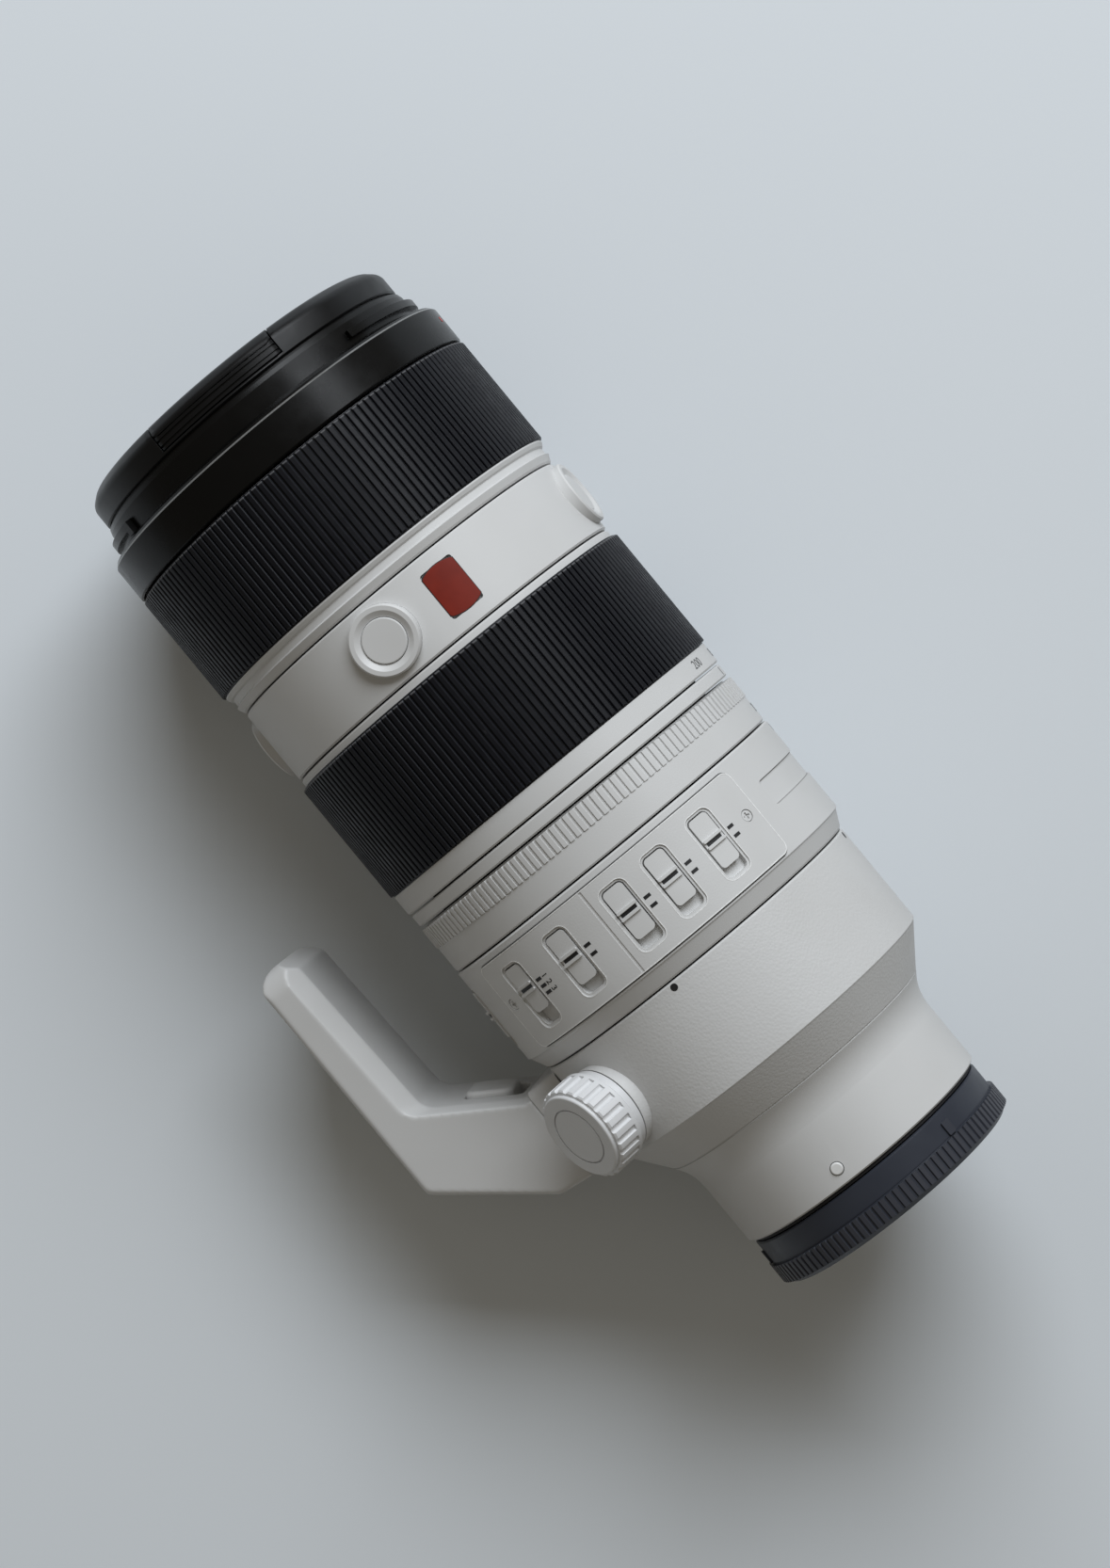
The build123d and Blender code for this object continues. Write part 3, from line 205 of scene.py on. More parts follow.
    def tip_tone(self, x, radius, colour):
        """Painted highlight: paler tips where raised ribs end, at a place along the optical axis."""
        full_length, faded_length = 0.14 * MM, 0.30 * MM
        full_depth, faded_depth = 0.22 * MM, 0.40 * MM
        split = self.tree.nodes.new("ShaderNodeSeparateXYZ")
        self.link(self.place, split.inputs[0])
        off = self.step("ABSOLUTE", self.step("SUBTRACT", split.outputs["X"], x))
        along = self.ranged(off, faded_length, full_length, 0.0, 1.0)
        high = self.ranged(self.from_axis(), radius - faded_depth, radius - full_depth, 0.0, 1.0)
        return self.blend(self.step("MULTIPLY", along, high), colour)

    def edge_tone(self, colour, amount, flat=0.985, turned=0.86):
        """Painted highlight: shows another tone along the edges, where the rounded normal leaves the flat
        one.
        """
        face = self.tree.nodes.new("ShaderNodeNewGeometry")
        dot = self.tree.nodes.new("ShaderNodeVectorMath")
        dot.operation = "DOT_PRODUCT"
        self.link(self.rounded_normal, dot.inputs[0])
        self.link(face.outputs["Normal"], dot.inputs[1])
        return self.blend(self.ranged(dot.outputs["Value"], flat, turned, 0.0, amount), colour)

    def uneven_gloss(self, value, spread, low=0.3, high=0.7):
        """Roughness that goes up and down with a value about the finish's own."""
        self.link(self.ranged(value, low, high, self.roughness - spread, self.roughness + spread),
                  self.shader.inputs["Roughness"])
        return self

    def done(self):
        if self.normal is not None:
            self.link(self.normal, self.shader.inputs["Normal"])
        return self.material


paint_white = (0.685, 0.685, 0.68)
paint_shade = (0.65, 0.648, 0.64)


def white_paint():
    f = Finish("white paint", paint_white, roughness=0.42)
    f.soft_edges(0.08 * MM).relief(f.noise(0.35 * MM, detail=2.0), depth=0.02 * MM, strength=0.4)
    f.tint(f.noise(28 * MM, detail=2.0), paint_shade, low=0.42, high=0.72)
    return f.uneven_gloss(f.noise(9 * MM), spread=0.05).done()


def grained_paint():
    """The collar and foot have a coarser leather-like grain."""
    f = Finish("grained white paint", paint_white, roughness=0.47)
    f.soft_edges(0.1 * MM).relief(f.pebbles(0.62 * MM), depth=0.06 * MM, strength=0.6)
    f.relief(f.noise(0.3 * MM, detail=2.0), depth=0.015 * MM, strength=0.3)
    f.tint(f.noise(30 * MM, detail=2.0), paint_shade, low=0.42, high=0.72)
    return f.uneven_gloss(f.noise(7 * MM), spread=0.05).done()


def white_moulding():
    f = Finish("white moulding", (0.70, 0.70, 0.695), roughness=0.38)
    f.soft_edges(0.08 * MM).relief(f.noise(0.25 * MM, detail=2.0), depth=0.012 * MM, strength=0.25)
    f.tint(f.noise(14 * MM, detail=2.0), (0.67, 0.668, 0.66), low=0.42, high=0.72)
    return f.uneven_gloss(f.noise(5 * MM), spread=0.05).done()


def knob_moulding():
    f = Finish("smooth white knob moulding", (0.76, 0.765, 0.775), roughness=0.36)
    f.soft_edges(0.08 * MM).relief(f.noise(0.3 * MM, detail=1.0), depth=0.005 * MM, strength=0.15)
    f.tint(f.noise(12 * MM, detail=2.0), (0.74, 0.745, 0.755), low=0.42, high=0.72)
    return f.uneven_gloss(f.noise(5 * MM), spread=0.04).done()


def panel_moulding():
    f = Finish("panel moulding", (0.69, 0.69, 0.685), roughness=0.45)
    f.soft_edges(0.08 * MM).relief(f.pebbles(0.45 * MM), depth=0.03 * MM, strength=0.35)
    f.tint(f.noise(18 * MM, detail=2.0), (0.66, 0.658, 0.65), low=0.42, high=0.72)
    return f.uneven_gloss(f.noise(6 * MM), spread=0.05).done()


def grip_rubber():
    f = Finish("ribbed rubber", (0.003, 0.0034, 0.0058), roughness=0.45, specular=0.27)
    f.soft_edges(0.12 * MM).relief(f.noise(0.3 * MM, detail=3.0), depth=0.02 * MM, strength=0.5)
    f.tint(f.noise(0.9 * MM, detail=2.0), (0.03, 0.03, 0.031), low=0.72, high=0.8)
    # Painted highlight along the edges of the ribs
    f.edge_tone((0.038, 0.043, 0.058), amount=0.9)
    # Painted highlight on the tips where the ribs of each grip end
    for node in ("focus_rubber", "zoom_rubber"):
        tip_x = span(node)[1] - 0.35 * MM
        f.tip_tone(tip_x, reach(node), (0.10, 0.10, 0.105))
    return f.uneven_gloss(f.noise(4 * MM), spread=0.07).done()


def satin_black():
    f = Finish("satin black paint", (0.0030, 0.0029, 0.0028), roughness=0.27, specular=0.21)
    f.soft_edges(0.1 * MM).relief(f.noise(0.22 * MM, detail=2.0), depth=0.012 * MM, strength=0.35)
    f.tint(f.noise(1.1 * MM, detail=2.0), (0.012, 0.012, 0.012), low=0.74, high=0.8)
    return f.uneven_gloss(f.noise(6 * MM), spread=0.05).done()


def cap_plastic():
    f = Finish("black cap moulding", (0.0042, 0.0042, 0.0045), roughness=0.36, specular=0.26)
    f.soft_edges(0.1 * MM).relief(f.noise(0.3 * MM, detail=2.0), depth=0.02 * MM, strength=0.45)
    f.tint(f.noise(1.3 * MM, detail=2.0), (0.012, 0.012, 0.012), low=0.74, high=0.8)
    return f.uneven_gloss(f.noise(8 * MM), spread=0.06).done()


def slate_plastic():
    f = Finish("slate cap moulding", (0.033, 0.038, 0.052), roughness=0.42, specular=0.4)
    f.soft_edges(0.1 * MM).relief(f.noise(0.25 * MM, detail=2.0), depth=0.015 * MM, strength=0.4)
    # Painted highlight: paler on the outermost half millimetre of the cap, on the tops of its ribs
    rim = reach("rear_cap")
    f.tint(f.from_axis(), (0.045, 0.048, 0.06), low=rim - 0.5 * MM, high=rim - 0.1 * MM)
    return f.uneven_gloss(f.noise(7 * MM), spread=0.06).done()


def red_enamel():
    f = Finish("dark red enamel", (0.205, 0.017, 0.007), roughness=0.42, specular=0.2)
    f.soft_edges(0.15 * MM).relief(f.noise(1.5 * MM, detail=1.0), depth=0.01 * MM, strength=0.2)
    f.tint(f.noise(4 * MM), (0.175, 0.014, 0.006), low=0.4, high=0.7)
    return f.uneven_gloss(f.noise(3 * MM), spread=0.05).done()


def bright_dot():
    f = Finish("white index enamel", (0.86, 0.86, 0.85), roughness=0.3)
    f.soft_edges(0.15 * MM).relief(f.noise(0.4 * MM, detail=1.0), depth=0.006 * MM, strength=0.2)
    f.tint(f.noise(1.2 * MM), (0.82, 0.82, 0.81), low=0.4, high=0.7)
    return f.uneven_gloss(f.noise(2 * MM), spread=0.04).done()


def metal(name, colour, roughness):
    """Turned or drawn metal, with a grain that is stretched along the optical axis."""
    f = Finish(name, colour, roughness, metallic=1.0)
    grain = f.noise(0.25 * MM, detail=2.0, stretch=(8.0, 1.0, 1.0))
    f.soft_edges(0.15 * MM).relief(grain, depth=0.008 * MM, strength=0.4)
    f.tint(f.noise(10 * MM), tuple(c * 0.9 for c in colour), low=0.4, high=0.7)
    return f.uneven_gloss(f.noise(3 * MM), spread=0.06).done()


def dull_black(name, colour=(0.018, 0.018, 0.019), roughness=0.6):
    f = Finish(name, colour, roughness, specular=0.35)
    f.soft_edges(0.15 * MM).relief(f.noise(0.3 * MM, detail=2.0), depth=0.02 * MM, strength=0.4)
    f.tint(f.noise(6 * MM), tuple(c * 1.5 for c in colour), low=0.5, high=0.8)
    return f.uneven_gloss(f.noise(4 * MM), spread=0.06).done()


def coated_glass():
    f = Finish("coated glass", (0.95, 0.96, 1.0), roughness=0.03)
    f.shader.inputs["Transmission Weight"].default_value = 1.0
    f.shader.inputs["IOR"].default_value = 1.6
    f.shader.inputs["Coat Weight"].default_value = 0.4
    f.shader.inputs["Coat Tint"].default_value = (0.75, 0.7, 1.0, 1.0)
    return f.uneven_gloss(f.noise(12 * MM), spread=0.015).done()


def board_green():
    f = Finish("board lacquer", (0.015, 0.11, 0.05), roughness=0.35)
    f.relief(f.noise(0.8 * MM, detail=2.0), depth=0.02 * MM, strength=0.4)
    f.tint(f.noise(3 * MM), (0.03, 0.16, 0.07), low=0.5, high=0.6)
    return f.uneven_gloss(f.noise(3 * MM), spread=0.05).done()


# Flat finish for printed marks, also used for the strips of painted shadow, painted shade and painted
# highlight
def print_ink(name, colour, roughness=0.5):
    f = Finish(name, colour, roughness)
    f.relief(f.noise(0.2 * MM, detail=2.0), depth=0.004 * MM, strength=0.3)
    f.tint(f.noise(0.5 * MM), tuple(c * 1.25 for c in colour))
    return f.uneven_gloss(f.noise(2 * MM), spread=0.05).done()


paint = white_paint()
grained = grained_paint()
moulding = white_moulding()
panel = panel_moulding()
rubber = grip_rubber()
black = satin_black()
cap_black = cap_plastic()
slate = slate_plastic()
enamel = red_enamel()
index_white = bright_dot()
bright_metal = metal("bright turned metal", (0.72, 0.72, 0.74), 0.28)
gold = metal("gold plating", (0.83, 0.63, 0.28), 0.25)
ground_steel = metal("ground steel", (0.6, 0.6, 0.62), 0.22)
blade_black = dull_black("blackened blades", (0.03, 0.03, 0.032), 0.45)
cell_black = dull_black("matt black cells")
tube_black = dull_black("black anodised tube", (0.05, 0.05, 0.055), 0.45)
seal_rubber = dull_black("seal rubber", (0.02, 0.02, 0.022), 0.7)
glass = coated_glass()
board = board_green()
black_ink = print_ink("black marking ink", (0.012, 0.012, 0.013))
grey_ink = print_ink("grey marking ink", (0.09, 0.09, 0.09))
red_ink = print_ink("red marking ink", (0.5, 0.03, 0.02))
seam_shadow = print_ink("shadow in a seam", (0.06, 0.058, 0.055), 0.7)
# Painted highlight: bright strips along the rims of the switch panel and of the slots
rim_light = print_ink("painted highlight on rims", (0.86, 0.86, 0.85), 0.35)
recess_shadow = print_ink("shadow in the recess", (0.3, 0.295, 0.29), 0.7)
# Painted highlight: a paler line where the window light glances off the front ring's edge
glint = print_ink("painted highlight on the front ring edge", (0.15, 0.15, 0.147), 0.25)
knob_white = knob_moulding()

finish_of = {
    paint: ["rear_housing", "main_housing", "upper_band", "index_band", "aperture_ring", "zoom_ring",
            "focus_ring"],
    grained: ["collar_ring", "tripod_foot"],
    knob_white: ["lock_knob"],
    moulding: ["button_bezels", "hold_button_side", "hold_button_top", "hold_button_foot",
               "focus_mode_slider", "full_time_slider", "focus_range_slider", "stabiliser_slider",
               "stabiliser_mode_slider", "iris_lock_slider", "click_slider", "foot_release"],
    index_white: ["mount_dot"],
    panel: ["focus_switch_plate", "mode_switch_plate"],
    rubber: ["focus_rubber", "zoom_rubber"],
    seal_rubber: ["mount_seal"],
    black: ["front_barrel", "front_retainer"],
    cap_black: ["front_cap", "cap_tab_upper", "cap_tab_lower"],
    slate: ["rear_cap"],
    enamel: ["badge_plate"],
    bright_metal: ["mount_flange", "mount_screws", "panel_screws"],
    gold: ["contact_pins"],
    ground_steel: ["guide_rods"],
    blade_black: ["iris_blades"],
    cell_black: ["contact_block", "iris_housing", "front_cell", "zoom_cell", "focus_cell", "rear_focus_cell",
                 "stabiliser_carriage", "stabiliser_cell", "rear_cell"],
    tube_black: ["inner_barrel", "cam_tube"],
    glass: ["front_lens", "second_lens", "zoom_lens", "focus_lens", "rear_focus_lens", "stabiliser_lens",
            "rear_lens"],
    board: ["circuit_board"],
}
for material, names in finish_of.items():
    for name in names:
        for holder in nodes[name].material_slots:
            holder.material = material


# Meshes and pieces

def smooth_faces(mesh):
    mesh.polygons.foreach_set("use_smooth", [True] * len(mesh.polygons))


def as_mesh(bm, name):
    """Plain mesh of what was built; the working copy is freed."""
    mesh = bpy.data.meshes.new(name)
    bm.to_mesh(mesh)
    bm.free()
    return mesh


def new_object(name, data):
    obj = bpy.data.objects.new(name, data)
    bpy.context.scene.collection.objects.link(obj)
    return obj


def baked(obj):
    """Final mesh of an object once its modifiers have done their work; the object goes."""
    bpy.context.view_layer.update()
    graph = bpy.context.evaluated_depsgraph_get()
    mesh = bpy.data.meshes.new_from_object(obj.evaluated_get(graph))
    obj.modifiers.clear()
    bpy.data.objects.remove(obj)
    return mesh


def piece(name, mesh, body, material, smooth_angle=35.0):
    """A finished object at the origin that rides on a body."""
    mesh.set_sharp_from_angle(angle=math.radians(smooth_angle))
    mesh.materials.clear()
    mesh.materials.append(material)
    obj = new_object(name, mesh)
    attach(obj, body)
    return obj


def lathe(name, profile, steps=256):
    """Closed ring about the optical axis from (x, radius) points that run round its section."""
    bm = bmesh.new()
    rings = []
    for i in range(steps):
        a = full_turn * i / steps
        rings.append([bm.verts.new((x, r * math.sin(a), r * math.cos(a))) for x, r in profile])
    count = len(profile)
    for i in range(steps):
        here, after = rings[i], rings[(i + 1) % steps]
        for k in range(count):
            m = (k + 1) % count
            bm.faces.new((here[k], here[m], after[m], after[k]))
    bmesh.ops.recalc_face_normals(bm, faces=bm.faces)
    mesh = as_mesh(bm, name)
    smooth_faces(mesh)
    return mesh


# Solids whose edges are softer here than in the source

def merged_copy(node):
    """Working copy of a node's mesh whose faces share their corners."""
    bm = bmesh.new()
    bm.from_mesh(nodes[node].data)
    bmesh.ops.remove_doubles(bm, verts=bm.verts, dist=merge_distance)
    return bm


def rounded(node, name, body, material, wanted, offset, segments, flat_angle=math.radians(0.3)):
    """Merged copy of a node whose wanted edges are rounded; it stands for the node."""
    bm = merged_copy(node)
    bmesh.ops.dissolve_limit(bm, angle_limit=flat_angle, verts=bm.verts, edges=bm.edges)
    edges = [e for e in bm.edges if wanted(e)]
    bmesh.ops.bevel(bm, geom=edges, offset=offset, offset_type="OFFSET", segments=segments, profile=0.5,
                    affect="EDGES", clamp_overlap=False)
    bmesh.ops.remove_doubles(bm, verts=bm.verts, dist=merge_distance)
    mesh = as_mesh(bm, name)
    smooth_faces(mesh)
    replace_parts(piece(name, mesh, body, material, smooth_angle=28.0), node)


def cast(node, name, body, material, voxel, passes):
    """Merged copy of a node with the soft edges of a painted casting; it stands for the node."""
    obj = new_object(name + "_source", as_mesh(merged_copy(node), name + "_source"))
    remesh = obj.modifiers.new("even", "REMESH")
    remesh.mode = "VOXEL"
    remesh.voxel_size = voxel
    smooth = obj.modifiers.new("soft", "SMOOTH")
    smooth.factor = 0.5
    smooth.iterations = passes
    mesh = baked(obj)
    smooth_faces(mesh)
    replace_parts(piece(name, mesh, body, material, smooth_angle=50.0), node)


foot_voxel, foot_passes = 0.42 * MM, 4
cap_rim_length, cap_rim_wall = 2.4 * MM, 2.9 * MM
cap_rim_round, cap_rim_segments = 0.95 * MM, 4
cap_rim_start = span("front_cap")[1] - cap_rim_length
cap_rim_inner = reach("front_cap") - cap_rim_wall


def cap_rim_edge(edge, sharp=math.radians(15), slant=0.05 * MM):
    """True for the rings of edges that bound the sloped rim of the front cap."""
    first, last = (v.co for v in edge.verts)
    spot = (first + last) / 2
    return (len(edge.link_faces) == 2 and edge.calc_face_angle() > sharp and spot.x > cap_rim_start
            and math.hypot(spot.y, spot.z) > cap_rim_inner and abs(first.x - last.x) < slant)


cast("tripod_foot", "foot_form", "collar", paint, foot_voxel, foot_passes)
for node in ("front_cap", "cap_tab_upper", "cap_tab_lower"):
    rounded(node, node + "_form", node, cap_black, cap_rim_edge, cap_rim_round,
            cap_rim_segments)


# Ribs and screws, made with Geometry Nodes

class Tree:
    """A Geometry Nodes tree with named number inputs."""

    def __init__(self, name, numbers, material):
        self.group = bpy.data.node_groups.new(name, "GeometryNodeTree")
        self.group.interface.new_socket("Geometry", in_out="INPUT", socket_type="NodeSocketGeometry")
        self.sockets = {}
        for label, number in numbers.items():
            kind = "NodeSocketInt" if isinstance(number, int) else "NodeSocketFloat"
            socket = self.group.interface.new_socket(label, in_out="INPUT", socket_type=kind)
            socket.default_value = number
            self.sockets[label] = socket.identifier
        self.group.interface.new_socket("Geometry", in_out="OUTPUT", socket_type="NodeSocketGeometry")
        self.input = self.add("NodeGroupInput")
        self.output = self.add("NodeGroupOutput")
        self.material = material

    def feed(self, socket, source):
        """Gives an input socket a plain value or the result of another node."""
        if isinstance(source, bpy.types.NodeSocket):
            self.group.links.new(source, socket)
        else:
            socket.default_value = source

    def add(self, kind, inputs=None, **settings):
        """New node, whose inputs are given by label or by place."""
        node = self.group.nodes.new(kind)
        for key, value in settings.items():
            setattr(node, key, value)
        for key, source in (inputs or {}).items():
            self.feed(node.inputs[key], source)
        return node

    def value(self, label):
        return self.input.outputs[label]

    def math(self, operation, a, b):
        return self.add("ShaderNodeMath", {0: a, 1: b}, operation=operation).outputs[0]

    def vector(self, x=0.0, y=0.0, z=0.0):
        return self.add("ShaderNodeCombineXYZ", {0: x, 1: y, 2: z}).outputs[0]

    def join(self, *sources):
        node = self.add("GeometryNodeJoinGeometry")
        for source in reversed(sources):
            self.feed(node.inputs[0], source)
        return node.outputs[0]

    def moved(self, geometry, offset):
        inputs = {"Geometry": geometry, "Translation": offset}
        return self.add("GeometryNodeTransform", inputs).outputs["Geometry"]

    def merged(self, geometry, distance):
        inputs = {"Geometry": geometry, "Distance": distance}
        return self.add("GeometryNodeMergeByDistance", inputs).outputs["Geometry"]

    def turned_copies(self, geometry, count, first, step):
        """Copies turned about the optical axis, from the top towards the foot side."""
        points = self.add("GeometryNodePoints", {"Count": count})
        turn = self.math("MULTIPLY", self.add("GeometryNodeInputIndex").outputs[0], step)
        turn = self.math("MULTIPLY", self.math("ADD", turn, first), -1.0)
        turned = self.add("FunctionNodeEulerToRotation", {0: self.vector(turn)})
        placed = self.add("GeometryNodeInstanceOnPoints", {
            "Points": points.outputs[0], "Instance": geometry, "Rotation": turned.outputs[0]})
        return placed.outputs["Instances"]

    def finish(self, geometry):
        """Realize Instances and Set Material close every tree."""
        real = self.add("GeometryNodeRealizeInstances", {"Geometry": geometry})
        painted = self.add("GeometryNodeSetMaterial", {
            "Geometry": real.outputs["Geometry"], "Material": self.material})
        self.feed(self.output.inputs["Geometry"], painted.outputs["Geometry"])


def rib_tree(material):
    """Flat ribs with chamfered edges and ends, set round the optical axis on a ring."""
    t = Tree("ribs round a ring", {
        "Count": 100, "Middle": 0.0, "Length": 0.01, "Width": 0.001, "Root Radius": 0.04, "Height": 0.0005,
        "Chamfer": 0.0001}, material)
    grid = t.add("GeometryNodeMeshGrid", {
        "Vertices X": 2, "Vertices Y": 2, "Size X": t.value("Length"), "Size Y": t.value("Width")})
    wall = t.add("GeometryNodeExtrudeMesh", {
        "Mesh": grid.outputs["Mesh"], "Individual": False,
        "Offset Scale": t.math("SUBTRACT", t.value("Height"), t.value("Chamfer"))}, mode="FACES")
    crown = t.add("GeometryNodeExtrudeMesh", {
        "Mesh": wall.outputs["Mesh"], "Selection": wall.outputs["Top"], "Individual": False,
        "Offset Scale": t.value("Chamfer")}, mode="FACES")
    corner = t.add("GeometryNodeInputPosition").outputs[0]
    sign = t.add("ShaderNodeVectorMath", {0: corner}, operation="SIGN").outputs[0]
    back = t.math("MULTIPLY", t.value("Chamfer"), -1.0)
    inward = t.add("ShaderNodeVectorMath", {0: sign, 1: t.vector(back, back)}, operation="MULTIPLY")
    narrow = t.add("GeometryNodeSetPosition", {
        "Geometry": crown.outputs["Mesh"], "Selection": crown.outputs["Top"], "Offset": inward.outputs[0]})
    under = t.add("GeometryNodeFlipFaces", {"Mesh": grid.outputs["Mesh"]})
    closed = t.merged(t.join(narrow.outputs["Geometry"], under.outputs["Mesh"]), merge_distance / 2)
    rib = t.moved(closed, t.vector(t.value("Middle"), 0.0, t.value("Root Radius")))
    step = t.math("DIVIDE", full_turn, t.value("Count"))
    t.finish(t.join(t.value("Geometry"), t.turned_copies(rib, t.value("Count"), 0.0, step)))
    return t


def screw_tree(material, top_share=0.9, arm_share=1.15, steps=40):
    """Flat screw heads with a cross recess, set at even steps round the optical axis."""
    t = Tree("cross head screws", {
        "Count": 2, "Place": 0.07, "Radius": 0.001, "Height": 0.001, "Top Radius": 0.04, "First Turn": 0.0,
        "Turn Step": 1.0, "Recess Width": 0.0003, "Recess Depth": 0.0003}, material)
    radius, height = t.value("Radius"), t.value("Height")
    head = t.add("GeometryNodeMeshCone", {
        "Vertices": steps, "Radius Top": t.math("MULTIPLY", radius, top_share), "Radius Bottom": radius,
        "Depth": height})
    cut = t.add("GeometryNodeMeshBoolean", {"Mesh 1": head.outputs["Mesh"]}, operation="DIFFERENCE")
    arm_length, arm_width = t.math("MULTIPLY", radius, arm_share), t.value("Recess Width")
    # One arm is a little deeper, so that their bottoms do not lie in one plane
    for long_x, long_y, depths in ((arm_length, arm_width, 2.0), (arm_width, arm_length, 2.2)):
        both_sides = t.math("MULTIPLY", t.value("Recess Depth"), depths)
        arm = t.add("GeometryNodeMeshCube", {"Size": t.vector(long_x, long_y, both_sides)})
        t.feed(cut.inputs["Mesh 2"], t.moved(arm.outputs["Mesh"], t.vector(0.0, 0.0, height)))
    level = t.math("SUBTRACT", t.value("Top Radius"), height)
    closed = t.merged(cut.outputs["Mesh"], merge_distance)
    screw = t.moved(closed, t.vector(t.value("Place"), 0.0, level))
    t.finish(t.turned_copies(screw, t.value("Count"), t.value("First Turn"), t.value("Turn Step")))
    return t


def grown(tree, base, values):
    """Runs a tree on a base mesh and gives the result as a plain mesh."""
    obj = new_object(base.name, base)
    modifier = obj.modifiers.new("growth", "NODES")
    modifier.node_group = tree.group
    for label, value in values.items():
        modifier[tree.sockets[label]] = value
    return baked(obj)


rib_count = 165
rib_height = 0.62 * MM
rib_sunk = 0.1 * MM
rib_width_share = 0.74
rib_chamfer = 0.16 * MM
rib_end_inset = 0.25 * MM
rubber_wall = 1.6 * MM
ribs = rib_tree(rubber)


def grip(name, node, body):
    """Rubber grip: a thin ring with ribs grown on it."""
    x0, x1 = span(node)
    top = reach(node)
    root = top - rib_height
    inner = top - rubber_wall
    base = lathe(name + "_base", [(x0, inner), (x1, inner), (x1, root), (x0, root)], 2 * rib_count)
    mesh = grown(ribs, base, {
        "Count": rib_count, "Middle": (x0 + x1) / 2, "Length": x1 - x0 - 2 * rib_end_inset,
        "Width": full_turn * root / rib_count * rib_width_share, "Root Radius": root - rib_sunk,
        "Height": rib_height + rib_sunk, "Chamfer": rib_chamfer,
    })
    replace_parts(piece(name, mesh, body, rubber, smooth_angle=30.0), node)


grip("focus_grip", "focus_rubber", "focus_ring")
grip("zoom_grip", "zoom_rubber", "zoom_ring")

skins = {}


def ray_radius(node, x, angle, outside=90 * MM):
    """Distance from the optical axis at which a node's surface is met from outside."""
    if node not in skins:
        mesh = nodes[node].data
        skins[node] = BVHTree.FromPolygons([v.co for v in mesh.vertices], [p.vertices for p in mesh.polygons])
    start = round_axis(x, outside, angle)
    hit = skins[node].ray_cast(start, round_axis(x, 0.0, 0.0) - start)[0]
    return math.hypot(hit.y, hit.z)


screw_angles = (-36.1, 58.1)
screw_low, screw_high = span("panel_screws")
screw_x = (screw_low + screw_high) / 2
screw_height = 1.0 * MM
recess_width, recess_depth = 0.42 * MM, 0.4 * MM
screw_mesh = grown(screw_tree(moulding), bpy.data.meshes.new("panel_screw_base"), {
    "Count": len(screw_angles), "Place": screw_x, "Radius": (screw_high - screw_low) / 2,
    "Height": screw_height, "Top Radius": ray_radius("panel_screws", screw_x, screw_angles[0]),
    "First Turn": math.radians(screw_angles[0]), "Turn Step": math.radians(screw_angles[1] - screw_angles[0]),
    "Recess Width": recess_width, "Recess Depth": recess_depth,
})
screws = piece("plate_screws", screw_mesh, "barrel", moulding, smooth_angle=30.0)
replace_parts(screws, "panel_screws")


# Marks, and strips of painted shadow and painted highlight at seams and rims: thin flat shapes laid on the
# surfaces

laid_height = 0.03 * MM
laid_lift = 0.012 * MM
laid_merge_distance = 0.0001 * MM


def wrap(mesh, x, radius, angle, reading="round"):
    """Wraps a flat mesh about the axis. Its up direction is to the front, and it reads round the
    barrel, or it reads along the barrel with its up direction round it."""
    for v in mesh.vertices:
        u, w, h = v.co.x, v.co.y, v.co.z
        along, around = (w, -u) if reading == "round" else (-u, -w)
        v.co = round_axis(x + along, radius + h, angle + math.degrees(around / radius))
    mesh.update()
    return mesh


def lay_on(mesh, node, x, angle, reading="round"):
    """Wraps a flat mesh on the surface of a node."""
    return wrap(mesh, x, ray_radius(node, x, angle) + laid_lift, angle, reading)


def shifted(mesh, along):
    """Moves a mesh along the optical axis."""
    for v in mesh.vertices:
        v.co.x += along
    return mesh


def laid_piece(name, meshes, body, material):
    """One piece from the meshes that were laid on a surface."""
    bm = bmesh.new()
    for mesh in meshes:
        bm.from_mesh(mesh)
    bmesh.ops.remove_doubles(bm, verts=bm.verts, dist=laid_merge_distance)
    return piece(name, as_mesh(bm, name), body, material)


def thickened(bm, thickness, name):
    """Closed mesh from a flat sheet and its raised copy, with a wall along the sheet's edge."""
    sheet, rim = bm.faces[:], [e.verts[:] for e in bm.edges if e.is_boundary]
    raised = {v: bm.verts.new(v.co + Vector((0, 0, thickness))) for v in bm.verts[:]}
    for face in sheet:
        bm.faces.new([raised[v] for v in face.verts])
    for first, last in rim:
        bm.faces.new((first, last, raised[last], raised[first]))
    bmesh.ops.recalc_face_normals(bm, faces=bm.faces)
    return as_mesh(bm, name)


def flat_bar(width, height, thickness=laid_height, cuts=6):
    """Flat bar, cut into strips so that it can follow a curved surface."""
    bm = bmesh.new()
    bmesh.ops.create_grid(bm, x_segments=cuts, y_segments=cuts, size=0.5)
    for v in bm.verts:
        v.co.x *= width
        v.co.y *= height
    return thickened(bm, thickness, "bar")


def bowed_plate(width, height, thickness, bow, corner_share=0.12, corner_pull=0.25, steps=24):
    """Flat plate whose two short ends are bowed outwards; width runs along the barrel."""
    bm = bmesh.new()
    outline = []
    for end in (1, -1):
        for i in range(steps + 1):
            w = end * (0.5 - i / steps)
            round_off = max(0.0, abs(2 * w) - (1 - corner_share)) / corner_share
            pulled = height * corner_share * corner_pull * round_off ** 2
            u = end * (width / 2 + bow * (1 - (2 * w) ** 2) - pulled)
            outline.append(bm.verts.new((u, w * height, 0)))
    bm.faces.new(outline)
    bmesh.ops.triangulate(bm, faces=bm.faces[:])
    bmesh.ops.subdivide_edges(bm, edges=bm.edges[:], cuts=3, use_grid_fill=True)
    return thickened(bm, thickness, "plate")


def flat_disc(radius, thickness=laid_height, steps=32):
    bm = bmesh.new()
    bmesh.ops.create_cone(bm, cap_ends=True, cap_tris=False, segments=steps, radius1=radius, radius2=radius,
                          depth=thickness)
    for v in bm.verts:
        v.co.z += thickness / 2
    return as_mesh(bm, "disc")


